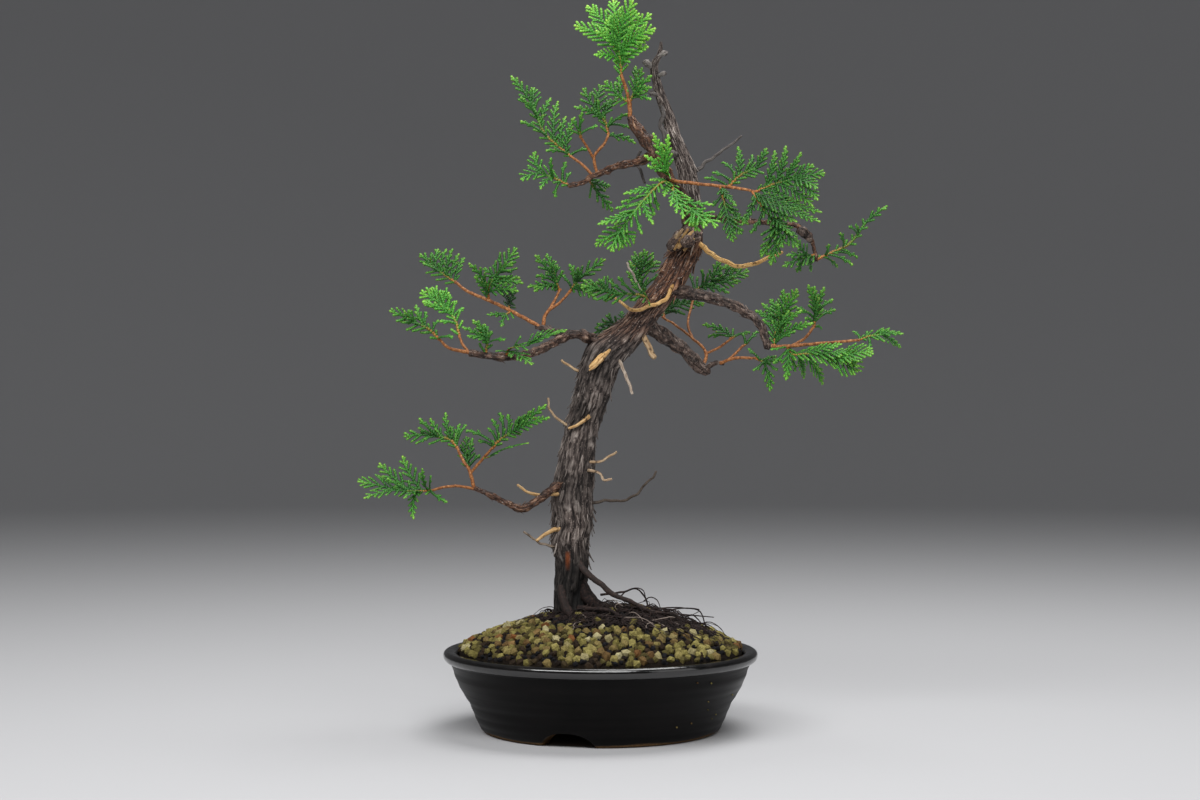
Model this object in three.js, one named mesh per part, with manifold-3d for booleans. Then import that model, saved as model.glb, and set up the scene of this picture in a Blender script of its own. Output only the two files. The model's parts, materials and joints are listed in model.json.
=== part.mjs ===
// An eastern arborvitae bonsai in a round glazed pot.
// Millimetres, +Z up. The tree is laid out round the pot's upright axis, as it is seen from its front.
import * as THREE from "three";
import { mergeVertices } from "three/addons/utils/BufferGeometryUtils.js";
import Module from "manifold-3d";

const wasm = await Module();
wasm.setup();

// Pot
const rimRadius = 98;
const potHeight = 50;
const footRadius = 71;
const footInnerRadius = 61;
const floorUnderside = 9.6;
const floorThickness = 6;
const drainRadius = 9;
const lipDepth = 6;
const potSides = 40;
// Outside of the wall between the foot and the lip, and inside of it from the floor up: radius, height
const wallOutside = [
  [82, 18],
  [88, 28],
  [93, 41],
];
const wallInside = [
  [68, floorUnderside + floorThickness],
  [81, 27],
  [87.5, 40],
  [89.4, 46.5],
];
const archCount = 3;
const archWidth = 33;
const archHeight = 9;
const firstArchTurn = -15.6; // degrees from the front, towards the left

// Drain screen
const screenWidth = 28;
const screenThickness = 1.2;
const screenHoles = 3;
const screenBar = 2;

// Soil
const soilRadius = 88.4;
const soilEdgeHeight = 50.5;
const soilRise = 22.5;
const soilRings = 14;
const granuleHeight = 3.2;
const rootMound = { x: 22, y: 4, height: 4, spread: 34 };

// Fit
const gap = 0.3;
const wallClearance = 0.5;

// Foliage
const leafThickness = 1;
const ribHalfWidth = 0.8;
const stalkShare = 0.12;
const leafletPitch = 7.4;
const mostPairs = 4;
const leafClearance = 0.6;
const leafletSizes = [1, 0.8, 0.62, 0.46, 0.32];
const leastLeafletReach = 4.2;
const mostLeafletReach = 7;
const leafletReachShare = 0.3;
const frondArch = 0.2;
const leafletDroop = 0.25;
// A frond that leaves the stem beyond this share of its length leaves it at its end
const endShare = 0.85;

// Point from which the front view below was measured
const eyeDistance = 1299;
const eyeHeight = 206;

// How much further than the depths below the branches reach to the front and back
const depthSpread = 1.6;

// Trunk: across, height, depth away from the front, radius
const trunkLine = [
  [-17, 70, 0, 11.5],
  [-18, 87, 0, 10.2],
  [-18, 106, 0, 10.4],
  [-19, 118, 0, 12],
  [-17, 131, -1, 12],
  [-18, 143, -1, 12.5],
  [-17, 156, -1, 12],
  [-15, 168, -1, 11.5],
  [-13, 181, 0, 10.6],
  [-10, 193, 0, 11],
  [-6, 206, 0, 10.8],
  [-1, 225, 0, 11.5],
  [3, 234, 0, 12],
  [11, 242, 0, 10.5],
  [20, 251, 0, 9],
  [28, 261, 0, 8.5],
  [36, 270, 0, 8.5],
  [44, 281, 0, 8.5],
  [50, 292, 0, 8],
  [55, 303, 0, 9],
  [58, 315, 0, 6.4],
  [57, 331, 0, 5.3],
  [54, 350, 1, 5.6],
  [50, 361, 2, 5],
  [45, 372, 3, 4.5],
  [42, 384, 4, 3.8],
  [38, 395, 4, 3.3],
  [35, 406, 5, 2.8],
  [33.5, 415, 5, 2.6],
  [37, 422.5, 5, 1.7],
  [38, 430, 5, 0.8],
];
const trunkSides = 12;
const trunkSteps = 34;
const trunkRidge = 0.13;
const rootBall = [
  [-14, 30, 0, 13],
  [-15, 55, 0, 15],
  [-17, 74, 0, 13],
];

// Branches that carry dark flaky bark
const barkLimbs = {
  lowLeft: [
    [-19, 152, -3, 3],
    [-27, 152, -6, 2.9],
    [-35, 146.5, -9, 2.8],
    [-41, 142, -12, 2.7],
    [-50, 138, -15, 2.6],
    [-60, 142, -18, 2.3],
    [-69, 146.5, -20, 2],
    [-79, 151, -21, 1.7],
  ],
  middleLeft: [
    [0, 241, 0, 4],
    [-10, 246, -3, 3.3],
    [-19, 247, -6, 3.1],
    [-26, 243.5, -8, 3],
    [-35, 239, -11, 2.9],
    [-44, 235, -14, 2.8],
    [-54, 233, -16, 2.8],
    [-63, 233, -18, 2.7],
    [-72, 234, -19, 2.5],
    [-82, 235.5, -20, 2.3],
  ],
  middleLeftKnob: [
    [-23, 246, -7, 2.6],
    [-33, 250, -4, 2.5],
    [-40, 252.5, -2, 2.3],
  ],
  leader: [
    [57, 318, -2, 3.5],
    [53, 328, -7, 3.2],
    [46, 340, -10, 3.2],
    [39, 351, -10, 3.4],
    [34, 362, -10, 4],
    [28, 370, -10, 3.6],
    [21.6, 377.5, -10, 2.8],
    [18.5, 383, -10, 2.1],
  ],
  upperLeft: [
    [34, 360, -9, 2.8],
    [25, 355.5, -6, 2.4],
    [15, 353.5, -3, 2.2],
    [7, 351, 0, 2],
    [0, 348, 2, 1.9],
    [-5, 346, 3, 1.8],
    [-10, 342.5, 4, 1.6],
    [-20, 340, 5, 1.2],
  ],
  farRight: [
    [58, 322, 0, 3],
    [72, 320, 8, 2.3],
    [86, 318.6, 16, 2.4],
    [100, 317.4, 22, 2],
    [112, 316, 28, 2],
    [123, 315, 32, 1.9],
    [128, 311, 34, 1.8],
    [132, 306, 35, 1.7],
    [134, 300, 35, 1.6],
    [135.5, 293, 35, 1.5],
  ],
  middleRight: [
    [44, 277, 0, 4.4],
    [50, 273.6, -3, 4],
    [56, 273, -5, 3.8],
    [65, 270.4, -8, 3.6],
    [75, 268.6, -11, 3.4],
    [84, 265, -14, 3.2],
    [90.5, 261, -16, 3.1],
    [97, 257, -18, 3],
    [101, 252, -19, 3],
    [103, 245, -20, 2.8],
    [105, 238.5, -20, 2.4],
  ],
  innerRight: [
    [26, 257, 0, 5],
    [34, 250, 1, 4.6],
    [43.5, 243.5, 3, 4.4],
    [53, 236, 4, 4.3],
    [62, 227.5, 4, 4],
    [67.5, 223.5, 3, 3.4],
  ],
  innerRightSpur: [
    [65, 225, 3, 1.9],
    [71.5, 229, 0, 1.7],
    [77, 229, -3, 1.4],
  ],
};

// Roots that show over the soil
const rootLimbs = {
  leftStrand: [
    [-22, 101, -7, 2.4],
    [-23.5, 87, -9, 2.6],
    [-22, 79, -10, 2.6],
    [-16, 70, -12, 2.4],
    [-11, 62, -13, 2],
  ],
  mainRoot: [
    [-15, 106, -6, 2.8],
    [-10, 99.5, -10, 2.6],
    [-5, 94.5, -12, 2.4],
    [0, 91, -13, 2.3],
    [8.5, 84, -14, 2],
    [18.5, 80, -14, 1.8],
    [25, 76.5, -13, 1.6],
    [35, 73, -12, 1.5],
    [46, 72, -10, 1.3],
    [52, 67, -9, 1.1],
  ],
  rightFlare: [
    [-14, 92, 0, 6],
    [-6, 80, 0, 6],
    [6, 72, 2, 4.5],
    [20, 66, 6, 3],
  ],
  backFlare: [
    [-17, 92, 3, 6],
    [-20, 80, 10, 6],
    [-26, 70, 20, 4],
    [-32, 60, 30, 2.5],
  ],
  archedRoot: [
    [0, 84, 0, 1.6],
    [15, 86, 2, 1.2],
    [22, 88, 4, 1],
    [28, 82, 7, 1],
    [31, 70, 9, 1],
  ],
  frontRoot: [
    [-14, 76, -8, 2.2],
    [-4, 75, -16, 1.6],
    [6, 74, -22, 1.4],
    [16, 68, -27, 1.2],
  ],
  looseRoot: [
    [24, 77, -13, 1.2],
    [37, 76, -8, 1],
    [52, 76, -3, 0.9],
    [62, 74, 1, 0.9],
    [66, 64, 3, 0.9],
  ],
};

// Bleached stubs and dead twigs
const deadLimbs = {
  longCurvedStub: [
    [57, 306, -2, 2.4],
    [63.5, 303, -6, 1.9],
    [68.5, 298, -9, 1.7],
    [75, 294, -11, 1.6],
    [84, 290.5, -13, 1.5],
    [91, 290, -14, 1.5],
    [98, 292, -14, 1.4],
    [106, 295.5, -13, 1.3],
    [114, 298.5, -12, 1],
  ],
  stubAcrossTrunk: [
    [45, 280, -5, 1.8],
    [43, 272, -9, 1.7],
    [37, 267, -10.5, 1.7],
    [30, 264.5, -10.5, 1.6],
    [21.5, 262, -10.5, 1.5],
    [15, 265, -11, 1.3],
    [11, 268.5, -10, 1.1],
    [7, 272, -9, 0.9],
  ],
  cutStubLeft: [
    [56, 312, 0, 4],
    [43.5, 302, -7, 3.6],
  ],
  cutStubFront: [
    [59, 310, -2, 3.4],
    [52, 303, -11, 3],
  ],
  cutStubLow: [
    [3, 237, -5, 2.8],
    [-5, 226, -14, 2.4],
  ],
  stubUnder: [
    [24, 252, -2, 2.2],
    [30, 240, -4, 1.9],
    [33.5, 232, -5, 1.7],
  ],
  whiteStub: [
    [8, 240, -4, 1.6],
    [12.5, 229, -7, 1.3],
    [16.5, 220, -7, 1.2],
    [20, 210, -8, 0.9],
  ],
  twigOverTrunk: [
    [30, 264, -5, 1],
    [24, 277, -4, 0.8],
    [16.5, 292, -4, 0.7],
  ],
  leftTwig: [
    [-8, 222, -1, 1],
    [-19, 227, -2, 0.8],
    [-24, 231, -2, 0.7],
  ],
  leftHook: [
    [-14, 187, -3, 1.1],
    [-26.5, 194, -4, 0.8],
    [-32, 201, -4, 0.7],
    [-33, 207, -4, 0.7],
  ],
  frontStub: [
    [-7, 196, -8, 1.3],
    [-10, 193, -12.5, 1.1],
    [-20, 188, -12, 0.8],
  ],
  rightFork: [
    [-8, 167, -8, 0.9],
    [1, 168, -9, 0.8],
    [10, 174, -9, 0.7],
  ],
  rightHook: [
    [-8, 162, -9, 1],
    [0, 160, -11, 0.8],
    [2, 156, -11, 0.8],
    [7, 156.5, -11, 0.7],
  ],
  longDarkTwig: [
    [-9, 142, -4, 1.1],
    [9, 143, -6, 0.8],
    [22, 146.5, -8, 0.8],
    [29, 154, -9, 0.7],
    [35, 161, -9, 0.7],
  ],
  forkedLeft: [
    [-20, 148, -7, 1.5],
    [-35, 146.5, -12, 1.1],
    [-45, 148, -14, 0.9],
    [-52, 153, -15, 0.7],
  ],
  lowLeftStub: [
    [-22, 126, -7, 1.8],
    [-31, 124, -9, 1.3],
    [-40, 118, -10, 1],
  ],
  lowLeftTwig: [
    [-24, 113, -5, 1.1],
    [-38, 116.5, -9, 0.7],
    [-48.5, 124.5, -11, 0.7],
  ],
  upperRightTwig: [
    [56, 347, 0, 1.4],
    [70, 357.5, 1, 1],
    [88.5, 371, 4, 0.7],
  ],
  crownKnobLeft: [
    [34, 413, 5, 1.8],
    [28.5, 417, 4, 2.2],
  ],
  crownKnobRight: [
    [36, 421, 5, 1.3],
    [40.5, 423.5, 5, 1.7],
  ],
};

// Young orange-brown twigs: each list holds the lines of one forked twig
const twigs = {
  twig_low_left: [
    [
      [-76, 149.8, -20.7, 1.1],
      [-91, 152, -22, 1],
      [-100.5, 151, -23, 0.95],
      [-107, 149, -24, 0.9],
    ],
    [
      [-79, 151, -21, 1.4],
      [-82, 161.5, -20, 1.2],
      [-87, 170, -18, 1],
      [-90, 177, -17, 0.9],
    ],
    [
      [-81.5, 160, -20, 1.1],
      [-76.5, 166, -21, 1],
      [-67, 176.5, -24, 0.9],
    ],
  ],
  twig_middle_left_long: [
    [
      [-37, 251.5, -3, 1.5],
      [-50, 258.5, 0, 1.4],
      [-66, 266.7, 8, 1.3],
      [-85, 275, 15, 1.1],
      [-91, 280.4, 17, 1],
    ],
  ],
  twig_middle_left_forked: [
    [
      [-36, 250, -3, 1.5],
      [-34.7, 259, 0, 1.3],
      [-31.6, 263, 2, 1.2],
      [-25, 275.4, 10, 0.9],
    ],
    [
      [-32.5, 262, 1.5, 1.1],
      [-25.5, 267, 4, 1],
      [-19, 274, 8, 0.9],
    ],
  ],
  twig_middle_left_end: [
    [
      [-79, 235, -19.6, 1.4],
      [-95.5, 239, -22, 1.1],
      [-101.7, 245, -23, 0.9],
    ],
    [
      [-82, 235.7, -20, 1.2],
      [-86, 240.4, -18, 1],
      [-88.6, 246.6, -16, 0.9],
    ],
  ],
  twig_crown: [
    [
      [18.8, 381, -10, 1.6],
      [17.8, 393.8, -10, 1.5],
      [15.3, 403, -11, 1.2],
      [12.8, 409.4, -12, 1],
    ],
  ],
  twig_upper_left_upright: [
    [
      [-2, 348, 2, 1.2],
      [-4, 358, 2, 1.1],
      [2.8, 366.8, 3, 1],
      [5.3, 373, 4, 0.9],
    ],
    [
      [-4, 357, 2, 1],
      [-12.8, 371.2, -2, 0.85],
    ],
  ],
  twig_upper_left_outer: [
    [
      [-5, 347, 3, 1.1],
      [-12.8, 354.3, 4, 1],
      [-19, 358.7, 6, 0.9],
    ],
  ],
  twig_upper_right: [
    [
      [43, 344, -11, 1.4],
      [51.6, 342.4, -16, 1.2],
      [68.5, 340.5, -18, 1.1],
      [81, 339.3, -20, 1.1],
      [98, 336.2, -23, 0.9],
    ],
  ],
  twig_middle_right: [
    [
      [104.5, 240, -20, 1.6],
      [112.4, 239.4, -21, 1.4],
      [125, 240.4, -23, 1.2],
      [150, 242.3, -27, 1],
      [162.4, 243.5, -29, 0.9],
    ],
    [
      [120, 240, -22, 1.1],
      [128, 244.8, -20, 1],
      [134.3, 252.9, -18, 0.9],
    ],
  ],
  twig_inner_right_low: [
    [
      [75, 229, -2.5, 1.2],
      [84.2, 232.2, -6, 1.1],
      [98, 232.2, -9, 0.9],
    ],
    [
      [80, 231, -4.5, 1],
      [89.8, 240.4, -2, 0.85],
    ],
  ],
  twig_inner_right_back: [
    [
      [64, 226, 4, 1.4],
      [66, 236, 8, 1.1],
      [57, 245, 13, 1],
      [46.6, 253, 20, 0.9],
      [38.5, 258, 24, 0.8],
    ],
    [
      [58, 244, 12.5, 1],
      [54.8, 253, 20, 0.95],
      [57.9, 268.6, 30, 0.85],
    ],
    [
      [65.8, 235, 7.5, 1],
      [74.8, 239.1, 8, 0.9],
      [82.3, 244.8, 8, 0.8],
    ],
  ],
};

// Sprays: the line of the green stem, then each frond's place along the stem and its tip's x, z and depth.
// face is the way that the flat of the spray looks: degrees from the front towards the right, and upwards.
const sprays = [
  {
    name: "spray_low_left_tip",
    face: [-15, 40],
    stem: [[-105, 149.5, -23.7], [-115, 149, -27], [-128, 149.5, -31]],
    fronds: [
      [1, -150, 154.5, -36],
      [0.75, -148, 144.5, -42],
      [0.55, -138.5, 166.5, -22],
      [0.25, -124, 171, -17],
      [0.15, -113, 163, -36],
      [0.4, -117, 131.5, -36],
      [0.05, -94, 143, -31],
    ],
  },
  {
    name: "spray_low_left_upper",
    face: [-10, 25],
    stem: [[-89.4, 175.5, -17.3], [-94, 181, -16], [-106, 184, -14]],
    fronds: [
      [1, -123, 183, -12],
      [0.75, -116, 196, -17],
      [0.55, -106, 197, -8],
      [0.35, -97, 198, -12],
      [0.1, -88, 191, -10],
    ],
  },
  {
    name: "spray_low_left_stem_leaf",
    face: [20, 10],
    stem: [[-82.2, 162.5, -19.8], [-83.5, 168, -15]],
    fronds: [[1, -84, 183, -8]],
  },
  {
    name: "spray_low_left_fan",
    face: [5, 20],
    stem: [[-68, 175.3, -23.7], [-63, 181, -25], [-54, 187, -27]],
    fronds: [
      [0.15, -84, 187, -21],
      [0.3, -74, 191, -18],
      [0.55, -63, 198, -21],
      [0.85, -49, 199, -24],
      [1, -34, 203, -31],
      [0.8, -32, 195, -36],
    ],
  },
  {
    name: "spray_low_left_edge",
    face: [0, 75],
    stem: [[-74, 169, -21.6], [-68, 171, -26]],
    fronds: [[1, -45, 179, -36]],
  },
  {
    name: "spray_middle_left_tip",
    face: [-10, 30],
    stem: [[-100.6, 243.6, -22.8], [-107, 250, -24], [-117, 255, -27]],
    fronds: [
      [1, -132, 261.7, -32],
      [0.75, -126, 246.5, -36],
      [0.55, -116.7, 267, -19],
      [0.2, -114, 240, -31],
    ],
  },
  {
    name: "spray_middle_left_bright",
    face: [0, 15],
    stem: [[-88.2, 245.4, -16.4], [-91, 256, -14], [-97, 264, -11]],
    fronds: [
      [1, -114, 273, -7],
      [0.95, -103, 277.5, -4],
      [0.75, -93, 274, -3],
      [0.6, -83.5, 266.5, -9],
      [0.5, -105, 259, -17],
    ],
  },
  {
    name: "spray_middle_left_end_fan",
    face: [0, 30],
    stem: [[-72, 234, -19], [-71, 241, -21], [-70.5, 243, -21]],
    fronds: [
      [0.8, -83, 246, -29],
      [1, -80, 256, -22],
      [1, -70.5, 257, -16],
      [0.9, -60, 250, -26],
      [0.8, -56, 242.5, -28],
    ],
  },
  {
    name: "spray_middle_left_edge",
    face: [0, 65],
    stem: [[-59, 233, -17], [-57, 238, -22], [-46, 240, -27]],
    fronds: [
      [1, -26, 249, -30],
      [1, -34, 237, -40],
      [0.5, -57, 226, -34],
    ],
  },
  {
    name: "spray_upper_far_left",
    face: [-5, 15],
    stem: [[-90, 279.2, 16.7], [-97, 284, 19], [-103, 288, 21]],
    fronds: [
      [1, -115, 298, 22],
      [0.8, -103, 302, 27],
      [0.45, -92.5, 302.5, 20],
      [0.1, -84, 295, 24],
      [0.4, -109, 283, 27],
    ],
  },
  {
    name: "spray_long_twig_fan",
    face: [0, 10],
    stem: [[-70, 269, 9.5], [-70.4, 276, 7], [-66, 283, 6]],
    fronds: [
      [0.5, -84.5, 283, 0],
      [0.9, -79, 295, 8],
      [1, -66, 300, 2],
      [1, -52.3, 301, 11],
      [0.7, -49, 288, 2],
    ],
  },
  {
    name: "spray_long_twig_under",
    face: [0, 35],
    stem: [[-56, 261.5, 3], [-60, 259, -2]],
    fronds: [
      [1, -71, 259.5, -8],
      [0.7, -62, 252, -9],
    ],
  },
  {
    name: "spray_long_twig_dark",
    face: [30, 0],
    stem: [[-57, 262, 3.5], [-57.5, 267, 10]],
    fronds: [[1, -59, 280, 17]],
  },
  {
    name: "spray_forked_twig_left",
    face: [0, 10],
    stem: [[-25.7, 274, 9.3], [-28, 281, 8]],
    fronds: [
      [0.3, -45, 280.5, 1],
      [0.9, -42, 296, 5],
      [1, -33.5, 299, 12],
      [1, -26, 290, 18],
    ],
  },
  {
    name: "spray_forked_twig_right",
    face: [0, 15],
    stem: [[-19.8, 273, 7.5], [-15, 280, 6]],
    fronds: [
      [0.9, -19.5, 291, 12],
      [1, -10, 290, 0],
      [0.9, 3, 294, 5],
      [0.3, -2.5, 274, -2],
    ],
  },
  {
    name: "spray_trunk_left",
    face: [0, 20],
    stem: [[31, 267, -5], [26, 271.5, -14], [8, 273, -17]],
    fronds: [
      [1, -12, 278, -20],
      [0.9, 0.5, 281.5, -12],
      [0.6, 11, 283, -20],
      [0.35, 16.5, 286, -10],
    ],
  },
  {
    name: "spray_crown",
    face: [5, 15],
    stem: [[13.1, 408.2, -11.8], [12.5, 418, -13], [11, 430, -14]],
    fronds: [
      [0.5, -4, 422, -22],
      [0.75, -16.5, 440.5, -18],
      [1, -8.5, 453, -10],
      [1, 8, 456.4, -6],
      [0.95, 20.5, 456, -19],
      [0.75, 32, 447.5, -15],
      [0.6, 34.5, 438.5, -27],
      [0.35, 30, 427, -22],
    ],
  },
  {
    name: "spray_crown_right",
    face: [10, 10],
    stem: [[17.9, 391.5, -10], [21, 398, -11]],
    fronds: [
      [1, 22, 415, -6],
      [1, 32, 409, -15],
      [0.5, 31.5, 394, -18],
    ],
  },
  {
    name: "spray_crown_left",
    face: [-20, 5],
    stem: [[18, 392, -10], [13.5, 395, -5]],
    fronds: [
      [1, 2.5, 405.5, 1],
      [0.9, 12, 409, 3],
    ],
  },
  {
    name: "spray_upper_left_tip",
    face: [0, 15],
    stem: [[-18, 358, 5.6], [-25.4, 364.3, 8], [-35, 373, 10], [-42, 390, 12]],
    fronds: [
      [1, -56, 408.8, 14],
      [1, -41.5, 405, 20],
      [0.8, -55, 392, 5],
      [0.7, -31, 395, 17],
      [0.5, -50.5, 377, 4],
      [0.35, -24, 385, 16],
      [0.3, -41, 365, 2],
      [0.1, -15, 376, 12],
    ],
  },
  {
    name: "spray_upper_left_inner",
    face: [5, 15],
    stem: [[5, 371.8, 3.8], [3, 380, 4], [-2, 386, 3]],
    fronds: [
      [0.7, -16.5, 389.5, 0],
      [1, -11, 401, 5],
      [1, 1, 403, 10],
      [0.7, 12, 396, 8],
      [0.3, 17, 385, 3],
      [0.05, 22, 366.5, 6],
    ],
  },
  {
    name: "spray_upper_left_front",
    face: [0, 20],
    stem: [[-12.2, 370, -1.8], [-13, 374, -4]],
    fronds: [
      [0.8, -23.5, 379, -6],
      [1, -11.5, 386, -9],
    ],
  },
  {
    name: "spray_upper_left_end",
    face: [0, 32],
    stem: [[-19, 340.2, 5], [-28, 344.5, 5], [-37, 348, 3]],
    fronds: [
      [1, -50, 344, -3],
      [0.95, -42, 361, 7],
      [0.6, -31, 357.5, 0],
      [0.25, -21.5, 355, 8],
      [0.55, -37.5, 338, -5],
      [0.3, -28.5, 333, 3],
    ],
  },
  {
    name: "spray_upper_left_hanging",
    face: [0, 10],
    stem: [[-7.5, 344.5, 3.5], [-4, 339, 8]],
    fronds: [
      [1, 7.5, 324, 13],
      [0.45, 6, 340, 15],
    ],
  },
  {
    name: "spray_centre_upright",
    face: [0, 15],
    stem: [[43.5, 345, -9], [42, 349, -17]],
    fronds: [
      [1, 33, 373, -26],
      [1, 42.3, 372, -23],
      [1, 27.5, 359, -24],
    ],
  },
  {
    name: "spray_centre_hanging",
    face: [-5, 30],
    stem: [[44, 342, -9], [38, 342, -19], [25, 328.5, -27], [13, 313, -31]],
    fronds: [
      [1, 6.5, 299, -35],
      [0.95, -5, 305.5, -27],
      [0.8, -3, 318, -36],
      [0.55, 11, 329, -23],
      [0.3, 23, 346, -24],
      [0.45, 37, 322, -20],
      [0.65, 33, 313, -35],
      [0.85, 22, 303, -28],
    ],
  },
  {
    name: "spray_centre_right",
    face: [0, 30],
    stem: [[45.5, 341, -11], [46, 336, -19], [57, 325, -26]],
    fronds: [
      [1, 73.5, 315, -32],
      [0.9, 59.5, 312, -29],
      [0.6, 49, 319, -31],
      [0.4, 42.5, 325, -27],
      [0.75, 70, 328.5, -27],
    ],
  },
  {
    name: "spray_upper_right_top",
    face: [0, 20],
    stem: [[80, 339.4, -19.9], [88, 347, -20], [97, 351, -21]],
    fronds: [
      [0.2, 70.5, 351.5, -14],
      [0.5, 79, 361, -14],
      [0.8, 91, 364.5, -16],
      [1, 104, 365, -21],
    ],
  },
  {
    name: "spray_upper_right_outer",
    face: [0, 25],
    stem: [[97, 336.4, -22.9], [108, 341, -25], [120, 344, -29]],
    fronds: [
      [0.45, 116, 359, -21],
      [0.75, 126, 361.5, -30],
      [1, 141, 351, -35],
      [0.95, 138, 335.5, -41],
      [0.6, 130, 326.5, -36],
    ],
  },
  {
    name: "spray_upper_right_low",
    face: [0, 30],
    stem: [[95, 336.7, -22.5], [102, 326, -29], [110, 317, -34]],
    fronds: [
      [1, 137.5, 315, -44],
      [1, 125, 302.5, -41],
      [0.95, 109, 292, -37],
      [0.55, 93, 309, -31],
    ],
  },
  {
    name: "spray_upper_right_inner",
    face: [0, 25],
    stem: [[75, 339.9, -19], [77.5, 330, -24], [79, 323, -26]],
    fronds: [
      [1, 84, 304, -30],
      [0.8, 71, 311, -22],
      [0.6, 95, 318, -25],
    ],
  },
  {
    name: "spray_far_right_low",
    face: [0, 25],
    stem: [[134.5, 297, 35], [129, 296, 31]],
    fronds: [
      [1, 114, 289.5, 25],
      [0.9, 125, 282.5, 36],
      [0.6, 136, 283, 42],
      [0.9, 121.5, 308, 23],
    ],
  },
  {
    name: "spray_far_right_tip",
    face: [0, 20],
    stem: [[135.3, 294, 35], [145, 298.5, 37], [156, 304, 39], [166, 317, 41]],
    fronds: [
      [1, 179.5, 327.5, 42],
      [0.75, 154, 315.5, 34],
      [0.5, 170, 303, 46],
      [0.35, 145, 308, 30],
      [0.25, 159.5, 292, 33],
      [0.1, 149, 285.5, 43],
    ],
  },
  {
    name: "spray_middle_right_upper",
    face: [0, 15],
    stem: [[109, 239.7, -20.6], [109.5, 247, -19], [113, 254, -17]],
    fronds: [
      [0.7, 97, 262, -9],
      [1, 105.5, 270, -11],
      [1, 114.5, 275, -15],
      [1, 123.5, 275, -24],
    ],
  },
  {
    name: "spray_middle_right_tall",
    face: [0, 15],
    stem: [[133.6, 251.8, -18.2], [134, 256, -18], [134.5, 260, -19]],
    fronds: [
      [0.9, 130.5, 278.5, -26],
      [1, 143.5, 279.5, -20],
      [0.4, 149, 268, -13],
    ],
  },
  {
    name: "spray_middle_right_tip",
    face: [0, 40],
    stem: [[161, 243.3, -28.8], [168.7, 246, -31], [176, 247, -33]],
    fronds: [
      [1, 189.5, 247.5, -36],
      [0.9, 188, 239, -28],
      [0.5, 178, 254, -25],
      [0.4, 168, 234.5, -38],
      [0.1, 158.5, 254, -20],
    ],
  },
  {
    name: "spray_middle_right_fan",
    face: [0, 40],
    stem: [[117, 239.7, -21.7], [119, 235, -22], [131, 235, -27], [147, 232, -31]],
    fronds: [
      [0.06, 111, 218, -24],
      [0.3, 127, 214, -17],
      [1, 161, 223.5, -35],
      [0.9, 160, 235, -36],
      [0.8, 145.5, 220, -37],
      [0.5, 147, 245, -32],
      [0.4, 136, 222, -25],
    ],
  },
  {
    name: "spray_inner_right_low",
    face: [0, 30],
    stem: [[97, 232.2, -8.9], [102, 230, -10]],
    fronds: [
      [1, 106, 211.5, -13],
      [0.9, 96, 219, -13],
    ],
  },
  {
    name: "spray_inner_right_leaf",
    face: [0, 40],
    stem: [[89, 239.6, -2.2], [91.5, 241.5, 0]],
    fronds: [[1, 98, 249, 5]],
  },
  {
    name: "spray_inner_right_back",
    face: [0, 25],
    stem: [[81, 244, 8], [84, 246, 10]],
    fronds: [
      [0.8, 72, 256, 13],
      [1, 95, 254, 16],
    ],
  },
  {
    name: "spray_behind_right",
    face: [0, 15],
    stem: [[57.5, 267.4, 29.2], [60, 275, 33], [69, 279, 35]],
    fronds: [
      [0.4, 55, 285.5, 38],
      [0.7, 63, 290.5, 31],
      [0.9, 73.5, 293, 36],
      [1, 84, 288, 40],
      [0.9, 91, 280.5, 32],
      [0.3, 72, 268, 30],
    ],
  },
  {
    name: "spray_behind_trunk",
    face: [0, 15],
    stem: [[39.5, 257.5, 23.6], [40, 262, 26]],
    fronds: [
      [1, 48, 272, 31],
      [0.5, 28, 253, 28],
    ],
  },
  {
    name: "spray_above_trunk",
    face: [0, 10],
    stem: [[34, 267, 3], [27, 274, 14], [25, 284, 18]],
    fronds: [
      [0.45, 13, 284, 12],
      [0.9, 16, 296, 22],
      [1, 25, 301, 18],
      [1, 34.5, 297, 23],
      [0.7, 37, 285, 16],
    ],
  },
  {
    name: "spray_behind_left",
    face: [0, 25],
    stem: [[22, 253, 4], [15, 252, 15], [10, 252, 19]],
    fronds: [
      [0.7, 8.5, 265, 25],
      [1, -1, 260, 18],
      [1, -5.5, 248, 27],
    ],
  },
];

const glaze = new THREE.MeshStandardMaterial({ color: 0x201c1b, roughness: 0.25, metalness: 0 });
const screenPlastic = new THREE.MeshStandardMaterial({ color: 0x15171a, roughness: 0.6, metalness: 0 });
const grit = new THREE.MeshStandardMaterial({ color: 0x9a8a52, roughness: 0.95, metalness: 0 });
const bark = new THREE.MeshStandardMaterial({ color: 0x5f534b, roughness: 0.9, metalness: 0 });
const youngBark = new THREE.MeshStandardMaterial({ color: 0xb06a3c, roughness: 0.7, metalness: 0 });
const foliage = new THREE.MeshStandardMaterial({ color: 0x3f8a34, roughness: 0.6, metalness: 0 });

// A repeatable number from 0 to 1 for two whole numbers
function chance(a, b) {
  const wave = Math.sin(a * 12.9898 + b * 78.233) * 43758.5453;
  return wave - Math.floor(wave);
}

// The point at a given depth that shows at (x, z) in the front view
function seen(x, z, depth) {
  const spread = (eyeDistance + depth) / eyeDistance;
  return new THREE.Vector3(x * spread, depth, eyeHeight + (z - eyeHeight) * spread);
}

function solidOf(geometry) {
  geometry.deleteAttribute("normal");
  geometry.deleteAttribute("uv");
  const merged = mergeVertices(geometry, 1e-4);
  const vertProperties = new Float32Array(merged.attributes.position.array);
  const triVerts = new Uint32Array(merged.index.array);
  return new wasm.Manifold(new wasm.Mesh({ numProp: 3, vertProperties, triVerts }));
}

function union(solids) {
  return solids.reduce((whole, piece) => whole.add(piece));
}

// The biggest body, without the scraps that a cut leaves
function mainBody(solid) {
  const bodies = solid.decompose();
  return bodies.reduce((best, body) => (body.volume() > best.volume() ? body : best));
}

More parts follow.
